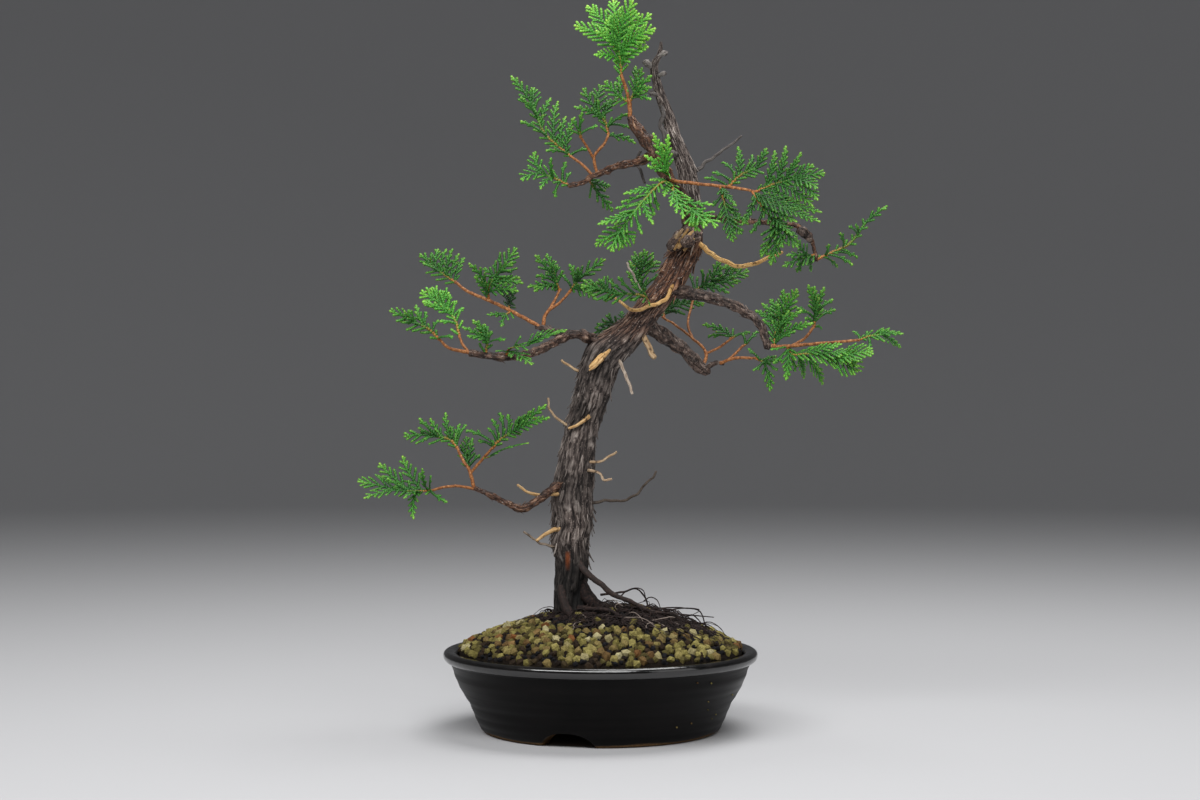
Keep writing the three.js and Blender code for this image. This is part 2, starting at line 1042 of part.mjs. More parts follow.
function meshOf(name, solid, material) {
  const made = solid.getMesh();
  const geometry = new THREE.BufferGeometry();
  geometry.setAttribute("position", new THREE.BufferAttribute(made.vertProperties, 3));
  geometry.setIndex(new THREE.BufferAttribute(made.triVerts, 1));
  const mesh = new THREE.Mesh(geometry, material);
  mesh.name = name;
  return mesh;
}

// Moves every vertex of a geometry by a rule
function reshape(geometry, rule) {
  const places = geometry.attributes.position;
  const point = new THREE.Vector3();
  for (let i = 0; i < places.count; i += 1) {
    point.fromBufferAttribute(places, i);
    const moved = rule(point);
    places.setXYZ(i, moved.x, moved.y, moved.z);
  }
  return geometry;
}

// A round limb that follows a line of [x, z, depth, radius] and tapers with it
function limb(line, sides, steps, grow = 0, ridge = 0) {
  const path = new THREE.CatmullRomCurve3(
    line.map(([x, z, depth]) => seen(x, z, depth)),
    false,
    "centripetal",
  );
  const frames = path.computeFrenetFrames(steps, false);
  const radiusAt = (share) => {
    const place = path.getUtoTmapping(share) * (line.length - 1);
    const before = Math.min(Math.floor(place), line.length - 2);
    return THREE.MathUtils.lerp(line[before][3], line[before + 1][3], place - before);
  };
  const tube = new THREE.CylinderGeometry(1, 1, 1, sides, steps);
  const bent = reshape(tube, (point) => {
    const step = Math.round((point.y + 0.5) * steps);
    const side = Math.round((Math.atan2(point.x, point.z) / (2 * Math.PI)) * sides + sides) % sides;
    const strip = (side % 2 ? 1 : -1) * ridge * (0.6 + chance(side, Math.floor(step / 3)));
    const radius = radiusAt(step / steps) * (1 + strip) + grow;
    const place = path.getPointAt(step / steps);
    place.addScaledVector(frames.normals[step], point.x * radius);
    place.addScaledVector(frames.binormals[step], -point.z * radius);
    return place;
  });
  return solidOf(bent);
}

function deeper(line) {
  return line.map(([x, z, depth, ...rest]) => [x, z, depth * depthSpread, ...rest]);
}

function barkLimb(line, grow = 0) {
  return limb(deeper(line), 6, line.length, grow, 0.06);
}

function thinLimb(line, grow = 0) {
  return limb(line, 4, line.length - 1, grow);
}

function twigLimb(line, grow = 0) {
  return limb(deeper(line), 4, line.length, grow);
}

function trunkSolid(grow = 0) {
  return limb(trunkLine, trunkSides, trunkSteps, grow, trunkRidge);
}

function treeSolid(grow = 0) {
  return union([
    trunkSolid(grow),
    limb(rootBall, 10, 2, grow),
    ...Object.values(barkLimbs).map((line) => barkLimb(line, grow)),
    ...Object.values(rootLimbs).map((line) => thinLimb(line, grow)),
    ...Object.values(deadLimbs).map((line) => thinLimb(line, grow)),
  ]);
}

// The flat of a spray: across and rise lie in it, way stands out of its face
function flatOf([turnDegrees, tiltDegrees]) {
  const turn = THREE.MathUtils.degToRad(turnDegrees);
  const tilt = THREE.MathUtils.degToRad(tiltDegrees);
  const across = new THREE.Vector3(Math.cos(turn), Math.sin(turn), 0);
  const way = new THREE.Vector3(
    Math.sin(turn) * Math.cos(tilt),
    -Math.cos(turn) * Math.cos(tilt),
    Math.sin(tilt),
  );
  return new THREE.Matrix4().makeBasis(across, way.clone().cross(across), way);
}

function onFlat(point) {
  return new THREE.Vector2(point.x, point.y);
}

// Where the edges of two ribs meet that leave a fork in directions a and b, b to the left of a
function forkCorner(fork, a, b, halfWidth) {
  const turn = Math.atan2(a.cross(b), a.dot(b));
  const opening = turn < 0 ? turn + 2 * Math.PI : turn;
  const middle = a.clone().rotateAround(new THREE.Vector2(), opening / 2);
  const far = Math.min(halfWidth / Math.max(Math.sin(opening / 2), 0.12), 6);
  return new THREE.Vector3(fork.x + middle.x * far, fork.y + middle.y * far, fork.z);
}

function distanceToAxis(point, { from, to }) {
  const start = onFlat(from);
  const run = onFlat(to).sub(start);
  const share = THREE.MathUtils.clamp(point.clone().sub(start).dot(run) / run.lengthSq(), 0, 1);
  return point.distanceTo(start.addScaledVector(run, share));
}

// One side of a frond, from its fork to its tip: a valley and a point for each leaflet.
// The first valley lies past the corner of the fork.
// A leaflet is shorter where it would reach over a neighbour.
function leafletEdge(axis, side, corner, others, grow) {
  const run = onFlat(axis.to).sub(onFlat(axis.from));
  const length = run.length();
  const along = run.normalize();
  const out = new THREE.Vector2(-along.y, along.x).multiplyScalar(side);
  const pairs = THREE.MathUtils.clamp(Math.round(length / leafletPitch), 2, mostPairs);
  const widest = THREE.MathUtils.clamp(length * leafletReachShare, leastLeafletReach, mostLeafletReach);
  const cornerFar = onFlat(corner).sub(onFlat(axis.from)).dot(along);
  const first = Math.max(length * stalkShare, cornerFar + ribHalfWidth);
  const pitch = (length * 0.95 - first) / pairs;
  const place = (far, wide) => {
    const share = far / length;
    const height = THREE.MathUtils.lerp(axis.from.z, axis.to.z, share);
    const arch = frondArch * length * share * (1 - share);
    const droop = (leafletDroop * wide * wide) / widest;
    const flat = onFlat(axis.from).addScaledVector(along, far).addScaledVector(out, wide);
    return new THREE.Vector3(flat.x, flat.y, height + arch - droop);
  };
  const edge = [];
  for (let i = 0; i < pairs; i += 1) {
    const root = first + pitch * (i + (side > 0 ? 0 : 0.3));
    const share = root / length;
    const reach = widest * (0.75 + 0.9 * share - 1.3 * share * share);
    for (const size of leafletSizes) {
      const wide = ribHalfWidth + (reach - ribHalfWidth) * size;
      const far = Math.min(root + pitch * 1.25 * (0.5 + 0.5 * size), length * 0.97);
      const tip = place(far, wide + grow);
      if (others.every((other) => distanceToAxis(onFlat(tip), other) > wide + leafClearance)) {
        edge.push(place(root, ribHalfWidth + grow), tip);
        break;
      }
    }
  }
  return edge;
}

// A flat piece of even thickness inside an outline whose points each have their own height
function plate(outline, thickness) {
  const flat = outline.map(onFlat);
  const faces = THREE.ShapeUtils.triangulateShape(flat, []);
  const count = outline.length;
  const places = [0.5, -0.5].flatMap((layer) =>
    outline.flatMap((point) => [point.x, point.y, point.z + layer * thickness]),
  );
  const index = faces.flatMap(([i, j, k]) => [i, j, k, k + count, j + count, i + count]);
  for (let i = 0; i < count; i += 1) {
    const next = (i + 1) % count;
    index.push(i, i + count, next + count, i, next + count, next);
  }
  const made = new THREE.BufferGeometry();
  made.setAttribute("position", new THREE.Float32BufferAttribute(places, 3));
  made.setIndex(index);
  return made;
}

// The outline of a whole spray: up one side of its stem, round every frond, and down the other side
function sprayOutline({ face, stem, fronds }, grow) {
  const toFlat = flatOf(face).invert();
  const stemPath = new THREE.CatmullRomCurve3(
    deeper(stem).map(([x, z, depth]) => seen(x, z, depth).applyMatrix4(toFlat)),
    false,
    "centripetal",
  );
  const root = stemPath.getPointAt(0);
  const axes = fronds.map(([place, x, z, depth]) => {
    const share = place < endShare ? place : 1;
    return {
      share,
      from: stemPath.getPointAt(share),
      to: seen(x, z, depth * depthSpread).applyMatrix4(toFlat),
    };
  });
  const forks = [...new Set([0, ...axes.map(({ share }) => share)])].sort((p, q) => p - q);
  const stemAxes = forks.slice(1).map((share, i) => ({
    from: stemPath.getPointAt(forks[i]),
    to: stemPath.getPointAt(share),
  }));
  const direction = ({ from, to }) => onFlat(to).sub(onFlat(from)).normalize();
  const rib = ribHalfWidth + grow;
  const stemBefore = (share) => direction(stemAxes[Math.max(forks.indexOf(share) - 1, 0)]);
  const stemAfter = (share) => direction(stemAxes[Math.min(forks.indexOf(share), stemAxes.length - 1)]);
  const turnOf = (axis) => {
    const stemWay = stemBefore(axis.share);
    const way = direction(axis);
    return Math.atan2(stemWay.cross(way), stemWay.dot(way));
  };
  const around = (axis, rightWay, leftWay) => {
    const way = direction(axis);
    const rightCorner = forkCorner(axis.from, rightWay, way, rib);
    const leftCorner = forkCorner(axis.from, way, leftWay, rib);
    const others = [...axes, ...stemAxes].filter((other) => other !== axis);
    const tip = axis.to.clone().add(new THREE.Vector3(way.x * grow, way.y * grow, 0));
    return [
      rightCorner,
      ...leafletEdge(axis, -1, rightCorner, others, grow),
      tip,
      ...leafletEdge(axis, 1, leftCorner, others, grow).reverse(),
      leftCorner,
    ];
  };
  const sideOutline = (side) =>
    axes
      .filter((axis) => axis.share < 1 && Math.sign(turnOf(axis)) === side)
      .sort((p, q) => -side * (p.share - q.share))
      .flatMap((axis) => {
        const back = stemBefore(axis.share).negate();
        const ahead = stemAfter(axis.share);
        return side < 0 ? around(axis, back, ahead) : around(axis, ahead, back);
      });
  const ends = axes.filter((axis) => axis.share === 1).sort((p, q) => turnOf(p) - turnOf(q));
  const endWays = [stemBefore(1).negate(), ...ends.map(direction), stemBefore(1).negate()];
  const endOutline = ends.flatMap((axis, i) => {
    const points = around(axis, endWays[i], endWays[i + 2]);
    return i ? points.slice(1) : points;
  });
  const start = direction(stemAxes[0]);
  const foot = (side) =>
    new THREE.Vector3(root.x - side * start.y * rib, root.y + side * start.x * rib, root.z);
  return [foot(-1), ...sideOutline(-1), ...endOutline, ...sideOutline(1), foot(1)];
}

function spraySolid(spray, grow = 0) {
  const blade = plate(sprayOutline(spray, grow), leafThickness + 2 * grow);
  return solidOf(blade.applyMatrix4(flatOf(spray.face)));
}

function potProfile() {
  return [
    [drainRadius, floorUnderside],
    [footInnerRadius, floorUnderside],
    [footInnerRadius + 2, 0],
    [footRadius, 0],
    [footRadius + 4.2, 2.8],
    ...wallOutside,
    [rimRadius - 1.4, potHeight - lipDepth],
    [rimRadius, potHeight - 3],
    [rimRadius - 2, potHeight],
    [rimRadius - 6, potHeight - 0.2],
    ...[...wallInside].reverse(),
    [drainRadius, floorUnderside + floorThickness],
  ];
}

// A foot arch: a rounded tunnel that runs out from the pot's axis
function archCutter(turn) {
  const half = archWidth / 2;
  const opening = new THREE.Shape();
  opening.moveTo(-half, -2);
  opening.lineTo(half, -2);
  opening.lineTo(half - 1, archHeight * 0.5);
  opening.quadraticCurveTo(half - 4, archHeight, half - 9, archHeight);
  opening.lineTo(-half + 9, archHeight);
  opening.quadraticCurveTo(-half + 4, archHeight, -half + 1, archHeight * 0.5);
  opening.closePath();
  const tunnel = new THREE.ExtrudeGeometry(opening, { depth: 50, bevelEnabled: false, curveSegments: 3 });
  tunnel.rotateX(Math.PI / 2);
  tunnel.translate(0, -50, 0);
  tunnel.rotateZ(THREE.MathUtils.degToRad(turn));
  return solidOf(tunnel);
}

function lathe(profile, sides) {
  const closed = [...profile, profile[0]].map(([r, z]) => new THREE.Vector2(r, z));
  const turned = new THREE.LatheGeometry(closed, sides);
  turned.rotateX(Math.PI / 2);
  return solidOf(turned);
}

function potSolid() {
  let pot = lathe(potProfile(), potSides);
  for (let i = 0; i < archCount; i += 1) {
    pot = pot.subtract(archCutter(firstArchTurn + (i * 360) / archCount));
  }
  return pot;
}

function block(width, depth, height, x, y, z) {
  return solidOf(new THREE.BoxGeometry(width, depth, height).translate(x, y, z));
}

// A square plastic grid that lies over the drain hole
function screenSolid() {
  const middle = floorUnderside + floorThickness + gap + screenThickness / 2;
  const pitch = (screenWidth - screenBar) / screenHoles;
  const hole = pitch - screenBar;
  let sheet = block(screenWidth, screenWidth, screenThickness, 0, 0, middle);
  for (let i = 0; i < screenHoles; i += 1) {
    for (let j = 0; j < screenHoles; j += 1) {
      const x = pitch * (i - (screenHoles - 1) / 2);
      const y = pitch * (j - (screenHoles - 1) / 2);
      sheet = sheet.subtract(block(hole, hole, 2 * screenThickness, x, y, middle));
    }
  }
  return sheet;
}

function moundHeight(x, y) {
  const share = Math.min((x * x + y * y) / (soilRadius * soilRadius), 1);
  const dome = soilEdgeHeight + soilRise * Math.pow(1 - share, 0.9);
  const away = ((x - rootMound.x) ** 2 + (y - rootMound.y) ** 2) / rootMound.spread ** 2;
  return dome + rootMound.height * Math.exp(-away);
}

// Where a point of a six-sided ring lies on a lattice of even triangles
function latticePlace(ring, sector, along) {
  const steps = [[1, 0], [0, 1], [-1, 1], [-1, 0], [0, -1], [1, -1]];
  const [q, r] = steps[sector];
  const [nextQ, nextR] = steps[(sector + 2) % 6];
  return [ring * q + along * nextQ, ring * r + along * nextR];
}

// The top of the soil: rings of points, where every third point is the crown of a granule
function soilTop() {
  const places = [];
  const firstOf = [0];
  for (let ring = 0; ring <= soilRings; ring += 1) {
    firstOf[ring + 1] = firstOf[ring] + Math.max(1, ring * 6);
    for (let k = 0; k < Math.max(1, ring * 6); k += 1) {
      const sector = ring ? Math.floor(k / ring) : 0;
      const along = ring ? k % ring : 0;
      const [q, r] = latticePlace(ring, sector, along);
      const crown = (q - r) % 3 === 0;
      const loose = ring && ring < soilRings ? 0.22 : 0;
      const radius = ((ring + loose * (chance(ring, k) - 0.5) * 2) * soilRadius) / soilRings;
      const angle = ((k + loose * (chance(k, ring + 40) - 0.5) * 2) / Math.max(1, ring * 6)) * 2 * Math.PI;
      const x = radius * Math.cos(angle);
      const y = radius * Math.sin(angle);
      const lift = crown ? granuleHeight * (0.55 + 0.6 * chance(ring, k + 7)) : -0.7 * chance(k, ring + 3);
      places.push(x, y, moundHeight(x, y) + (ring < soilRings ? lift : 0));
    }
  }
  return { places, firstOf };
}

// The mound with a flat underside, before the pot's inside trims it
function soilBlock() {
  const { places, firstOf } = soilTop();
  const faces = [];
  for (let ring = 0; ring < soilRings; ring += 1) {
    const inner = (sector, j) => firstOf[ring] + (ring ? (sector * ring + j) % (ring * 6) : 0);
    const outer = (sector, j) => firstOf[ring + 1] + ((sector * (ring + 1) + j) % ((ring + 1) * 6));
    for (let sector = 0; sector < 6; sector += 1) {
      for (let j = 0; j <= ring; j += 1) {
        faces.push(inner(sector, j), outer(sector, j), outer(sector, j + 1));
        if (j < ring) faces.push(inner(sector, j), outer(sector, j + 1), inner(sector, j + 1));
      }
    }
  }
  const edgeCount = soilRings * 6;
  const edgeStart = firstOf[soilRings];
  const lowStart = firstOf[soilRings + 1];
  for (let k = 0; k < edgeCount; k += 1) {
    places.push(places[(edgeStart + k) * 3], places[(edgeStart + k) * 3 + 1], 0);
  }
  const lowCentre = lowStart + edgeCount;
  places.push(0, 0, 0);
  for (let k = 0; k < edgeCount; k += 1) {
    const next = (k + 1) % edgeCount;
    faces.push(edgeStart + k, lowStart + k, lowStart + next);
    faces.push(edgeStart + k, lowStart + next, edgeStart + next);
    faces.push(lowCentre, lowStart + next, lowStart + k);
  }
  const block = new THREE.BufferGeometry();
  block.setAttribute("position", new THREE.Float32BufferAttribute(places, 3));
  block.setIndex(faces);
  return solidOf(block);
}

// The room inside the pot, a gap clear of its wall, its floor and the drain screen
function potRoom() {
  const floorTop = floorUnderside + floorThickness + gap;
  const overScreen = floorTop + screenThickness + gap;
  const screenReach = (screenWidth / 2) * Math.SQRT2 + 2 * gap;
  const wall = wallInside.map(([radius, height]) => [radius - wallClearance, Math.max(height, floorTop)]);
  const overMound = 2 * potHeight;
  return lathe(
    [
      [0, overScreen],
      [screenReach, overScreen],
      [screenReach, floorTop],
      ...wall,
      [wall[wall.length - 1][0], overMound],
      [0, overMound],
    ],
    potSides,
  );
}

const bonsai = new THREE.Group();
const tree = mainBody(treeSolid());
const treeRoom = treeSolid(gap);
const soil = mainBody(soilBlock().intersect(potRoom()).subtract(treeRoom));

bonsai.add(meshOf("pot", potSolid(), glaze));
bonsai.add(meshOf("drain_screen", screenSolid(), screenPlastic));
bonsai.add(meshOf("potting_soil", soil, grit));
bonsai.add(meshOf("trunk_and_branches", tree, bark));

let taken = treeRoom;
for (const [name, lines] of Object.entries(twigs)) {
  const twig = union(lines.map((line) => twigLimb(line)));
  bonsai.add(meshOf(name, mainBody(twig.subtract(taken)), youngBark));
  taken = taken.add(union(lines.map((line) => twigLimb(line, gap))));
}
for (const spray of sprays) {
  bonsai.add(meshOf(spray.name, mainBody(spraySolid(spray).subtract(taken)), foliage));
  taken = taken.add(spraySolid(spray, gap));
}

// The origin is under the middle of the whole, where the pot stands
const box = new THREE.Box3().setFromObject(bonsai);
for (const mesh of bonsai.children) {
  mesh.geometry.translate(-(box.min.x + box.max.x) / 2, -(box.min.y + box.max.y) / 2, -box.min.z);
}

export default bonsai;
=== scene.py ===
import json
import math
import bpy
import numpy as np
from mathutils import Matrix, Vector, noise

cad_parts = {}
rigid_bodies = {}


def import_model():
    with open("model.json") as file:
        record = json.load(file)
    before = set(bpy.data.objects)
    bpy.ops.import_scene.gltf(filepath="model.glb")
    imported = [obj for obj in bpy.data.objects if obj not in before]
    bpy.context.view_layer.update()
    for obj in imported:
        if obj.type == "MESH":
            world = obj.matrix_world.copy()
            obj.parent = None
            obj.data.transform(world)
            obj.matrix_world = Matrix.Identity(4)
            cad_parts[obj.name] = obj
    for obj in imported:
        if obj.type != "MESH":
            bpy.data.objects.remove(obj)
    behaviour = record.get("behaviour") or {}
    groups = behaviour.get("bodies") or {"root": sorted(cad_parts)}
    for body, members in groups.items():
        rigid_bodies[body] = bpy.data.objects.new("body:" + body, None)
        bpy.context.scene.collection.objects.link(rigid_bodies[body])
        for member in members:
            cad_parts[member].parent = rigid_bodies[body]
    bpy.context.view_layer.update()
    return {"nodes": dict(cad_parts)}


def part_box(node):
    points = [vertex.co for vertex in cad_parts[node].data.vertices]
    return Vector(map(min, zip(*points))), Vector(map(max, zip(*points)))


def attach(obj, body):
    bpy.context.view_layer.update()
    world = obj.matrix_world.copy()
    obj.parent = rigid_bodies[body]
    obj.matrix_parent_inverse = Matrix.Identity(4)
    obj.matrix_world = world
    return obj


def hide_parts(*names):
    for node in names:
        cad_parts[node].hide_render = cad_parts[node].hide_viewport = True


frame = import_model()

mm = 0.001
potLow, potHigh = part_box("pot")
potX = (potLow.x + potHigh.x) / 2
potY = (potLow.y + potHigh.y) / 2

# The tree's lines are written as x, z and depth in millimetres round the pot's axis, as seen from
# the front, and a limb's radius after them
view = {
    "eyeDistance": 1299,
    "eyeHeight": 206,
    "eyeAside": -0.3,  # from the pot's axis
    "depthSpread": 1.6,  # branches reach this much further to the front and back than written
    "lens": 62.25,
    "sensor": 36,
}


def seen(x, z, depth):
    spread = (view["eyeDistance"] + depth) / view["eyeDistance"]
    height = view["eyeHeight"] + (z - view["eyeHeight"]) * spread
    return np.array([potX + x * spread * mm, potY + depth * mm, height * mm])


def seenLine(rows, deeper=1.0, girth=1.0):
    places = np.array([seen(x, z, depth * deeper) for x, z, depth, *rest in rows])
    radii = np.array([row[3] * girth if len(row) > 3 else 1 for row in rows]) * mm
    return places, radii


def unit(v):
    return v / max(np.linalg.norm(v), 1e-12)


def units(rows):
    return rows / np.maximum(np.linalg.norm(rows, axis=1, keepdims=True), 1e-12)


def smoothLine(places, radii, step):
    # a centripetal curve through the places, then even steps along it
    ends = np.vstack([2 * places[0] - places[1], places, 2 * places[-1] - places[-2]])
    fine, sizes = [], []
    for i in range(len(places) - 1):
        p = ends[i:i + 4]
        t = np.concatenate([[0], np.cumsum(np.sqrt(np.linalg.norm(np.diff(p, axis=0), axis=1)))])
        share = np.linspace(0, 1, 16, endpoint=False)
        u = (t[1] + (t[2] - t[1]) * share)[:, None]
        a = [(t[k + 1] - u) / (t[k + 1] - t[k]) * p[k] + (u - t[k]) / (t[k + 1] - t[k]) * p[k + 1]
             for k in range(3)]
        b = [(t[k + 2] - u) / (t[k + 2] - t[k]) * a[k] + (u - t[k]) / (t[k + 2] - t[k]) * a[k + 1]
             for k in range(2)]
        fine.append((t[2] - u) / (t[2] - t[1]) * b[0] + (u - t[1]) / (t[2] - t[1]) * b[1])
        sizes.append(radii[i] + (radii[i + 1] - radii[i]) * share)
    fine = np.vstack(fine + [places[-1:]])
    sizes = np.concatenate(sizes + [radii[-1:]])
    far = np.concatenate([[0], np.cumsum(np.linalg.norm(np.diff(fine, axis=0), axis=1))])
    steps = np.linspace(0, far[-1], max(3, int(round(far[-1] / step)) + 1))
    line = np.column_stack([np.interp(steps, far, fine[:, k]) for k in range(3)])
    return line, np.interp(steps, far, sizes), steps


def framesAlong(line, hint=(0.13, 1, 0.21)):
    ways = units(np.gradient(line, axis=0))
    normals = np.zeros_like(ways)
    normal = np.array(hint, float)
    for i, way in enumerate(ways):
        normal = unit(normal - way * normal.dot(way))
        normals[i] = normal
    return ways, normals, np.cross(ways, normals)


def chance(a, b=0):
    wave = np.sin(np.asarray(a) * 12.9898 + np.asarray(b) * 78.233 + 3.7) * 43758.5453
    return wave - np.floor(wave)


def noiseOf(points):
    return np.array([noise.noise(p) for p in points.tolist()])


def ringFaces(rings, sides, first=0, outward=True):
    # quads between rings of points that follow each other
    faces = []
    for i in range(rings - 1):
        for k in range(sides):
            a, b = (first + i * sides + j for j in (k, (k + 1) % sides))
            faces.append((a, b, b + sides, a + sides) if outward else (a, a + sides, b + sides, b))
    return faces


def hoopFaces(turns, count):
    # quads round the pot, between sections that are closed themselves
    faces = []
    for i in range(turns):
        for k in range(count):
            a, b, after = i * count, (i + 1) % turns * count, (k + 1) % count
            faces.append((a + k, b + k, b + after, a + after))
    return faces


def writePoints(mesh, values):
    # what each point holds: one number, or three
    for key, rows in values.items():
        rows = np.asarray(rows, float)
        kind, field = ("FLOAT_VECTOR", "vector") if rows.ndim == 2 else ("FLOAT", "value")
        mesh.attributes.new(key, kind, "POINT").data.foreach_set(field, rows.ravel())


def placePiece(name, mesh):
    piece = bpy.data.objects.new(name, mesh)
    bpy.context.scene.collection.objects.link(piece)
    return piece


def meshFrom(name, parts, material):
    # parts are dictionaries of places, faces and whatever else each point holds
    mesh = bpy.data.meshes.new(name)
    places = np.vstack([part["places"] for part in parts])
    faces, first = [], 0
    for part in parts:
        faces += [[i + first for i in face] for face in part["faces"]]
        first += len(part["places"])
    mesh.from_pydata(places.tolist(), [], faces)
    writePoints(mesh, {key: np.concatenate([np.asarray(part[key], float) for part in parts])
                       for key in parts[0] if key not in ("places", "faces")})
    mesh.shade_smooth()
    mesh.materials.append(material)
    return placePiece(name, mesh)


def addNode(tree, kind, inputs=None, **settings):
    made = tree.nodes.new(kind)
    for key, value in settings.items():
        setattr(made, key, value)
    for key, value in (inputs or {}).items():
        if isinstance(value, bpy.types.NodeSocket):
            tree.links.new(value, made.inputs[key])
        else:
            made.inputs[key].default_value = value
    return made


def newTree(name, sizes):
    tree = bpy.data.node_groups.new(name, "GeometryNodeTree")
    tree.interface.new_socket("Geometry", in_out="INPUT", socket_type="NodeSocketGeometry")
    for label, kind in sizes.items():
        tree.interface.new_socket(label, in_out="INPUT", socket_type="NodeSocket" + kind)
    tree.interface.new_socket("Geometry", in_out="OUTPUT", socket_type="NodeSocketGeometry")
    return tree, tree.nodes.new("NodeGroupInput").outputs


def endTree(tree, geometry, drop=(), smooth=True):
    real = addNode(tree, "GeometryNodeRealizeInstances", {0: geometry})
    last = real.outputs[0]
    for key in drop:
        thinned = addNode(tree, "GeometryNodeRemoveAttribute", {"Geometry": last, "Name": key})
        last = thinned.outputs[0]
    soft = addNode(tree, "GeometryNodeSetShadeSmooth", {"Geometry": last, "Shade Smooth": smooth})
    painted = addNode(tree, "GeometryNodeSetMaterial", {"Geometry": soft.outputs[0]})
    tree.links.new(tree.nodes["Group Input"].outputs["Material"], painted.inputs["Material"])
    out = tree.nodes.new("NodeGroupOutput")
    tree.links.new(painted.outputs[0], out.inputs[0])


def grow(piece, tree, values):
    modifier = piece.modifiers.new(tree.name, "NODES")
    modifier.node_group = tree
    keys = {item.name: item.identifier for item in tree.interface.items_tree
            if item.in_out == "INPUT"}
    for label, value in values.items():
        modifier[keys[label]] = value
    graph = bpy.context.evaluated_depsgraph_get()
    mesh = bpy.data.meshes.new_from_object(piece.evaluated_get(graph), depsgraph=graph)
    mesh.name = piece.name
    piece.modifiers.remove(modifier)
    piece.data = mesh
    return piece


def named(tree, label, kind="FLOAT"):
    return addNode(tree, "GeometryNodeInputNamedAttribute", {"Name": label},
                   data_type=kind).outputs[0]


def combine(tree, kind, *values, clamp=False):
    return addNode(tree, "ShaderNodeMath", dict(enumerate(values)), operation=kind,
                   use_clamp=clamp).outputs[0]


def joinAxes(tree, x, y, z):
    return addNode(tree, "ShaderNodeCombineXYZ", {0: x, 1: y, 2: z}).outputs[0]


def scaled(tree, axes, size):
    return addNode(tree, "ShaderNodeVectorMath", {0: axes, "Scale": size},
                   operation="SCALE").outputs[0]


def randomOf(tree, least, most, seed, kind="FLOAT"):
    # the node has its own pair of inputs and its own output for each kind
    pair = ("FLOAT_VECTOR", "FLOAT", "INT").index(kind)
    made = addNode(tree, "FunctionNodeRandomValue",
                   {2 * pair: least, 2 * pair + 1: most, "Seed": seed}, data_type=kind)
    return made.outputs[pair]


def standOn(tree, points, shape, firstWay, secondWay, axis, tilt, size):
    # the shape on every point, its Z along the first named way, and then tilted
    shown = addNode(tree, "GeometryNodeObjectInfo", {"Object": shape})
    ways = (named(tree, label, "FLOAT_VECTOR") for label in (firstWay, secondWay))
    turn = addNode(tree, "FunctionNodeAxesToRotation", dict(enumerate(ways)),
                   primary_axis="Z", secondary_axis=axis)
    lean = addNode(tree, "FunctionNodeEulerToRotation", {0: tilt})
    turned = addNode(tree, "FunctionNodeRotateRotation", {0: turn.outputs[0], 1: lean.outputs[0]},
                     rotation_space="LOCAL")
    return addNode(tree, "GeometryNodeInstanceOnPoints",
                   {"Points": points, "Instance": shown.outputs["Geometry"],
                    "Rotation": turned.outputs[0], "Scale": size}).outputs[0]


def setPiece(piece, slotName, *nodes):
    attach(piece, "root")
    if nodes:
        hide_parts(*nodes)
    return piece


# Materials


def paint(red, green, blue):
    # a colour as the eye gives it, from 0 to 255, as the shader wants it
    steps = [v / 255 / 12.92 if v <= 10 else ((v / 255 + 0.055) / 1.055) ** 2.4
             for v in (red, green, blue)]
    return (*steps, 1)


def newMaterial(name, **shaderValues):
    material = bpy.data.materials.new(name)
    material.use_nodes = True
    tree = material.node_tree
    shader = tree.nodes["Principled BSDF"]
    for label, value in shaderValues.items():
        shader.inputs[label.replace("_", " ")].default_value = value
    return material, tree, shader


def feed(shader, label, value):
    shader.id_data.links.new(value, shader.inputs[label])


def readPoint(tree, label, output="Fac"):
    return addNode(tree, "ShaderNodeAttribute", attribute_name=label).outputs[output]


def ramp(tree, factor, *stops):
    # a stop is its place and a colour as the eye gives it, or its place and a plain level
    made = addNode(tree, "ShaderNodeValToRGB", {0: factor})
    marks = made.color_ramp.elements
    while len(marks) < len(stops):
        marks.new(0.5)
    for mark, (place, *colour) in zip(marks, stops):
        mark.position = place
        mark.color = paint(*colour) if len(colour) > 1 else (*colour * 3, 1)
    return made.outputs[0]


def mixColour(tree, factor, first, second, blend="MIX"):
    return addNode(tree, "ShaderNodeMix", {0: factor, 6: first, 7: second}, data_type="RGBA",
                   blend_type=blend).outputs[2]


def grainOf(tree, scale, detail=3.0, roughness=0.6, squeeze=(1, 1, 1), place=None):
    # noise on the place of a point of the object, or on another place
    place = place or addNode(tree, "ShaderNodeTexCoord").outputs["Object"]
    fitted = addNode(tree, "ShaderNodeMapping", {"Vector": place, "Scale": squeeze})
    return addNode(tree, "ShaderNodeTexNoise",
                   {"Vector": fitted.outputs[0], "Scale": scale, "Detail": detail,
                    "Roughness": roughness}).outputs["Fac"]


def addBump(tree, shader, height, strength, distance):
    bump = addNode(tree, "ShaderNodeBump",
                   {"Height": height, "Strength": strength, "Distance": distance})
    feed(shader, "Normal", bump.outputs[0])


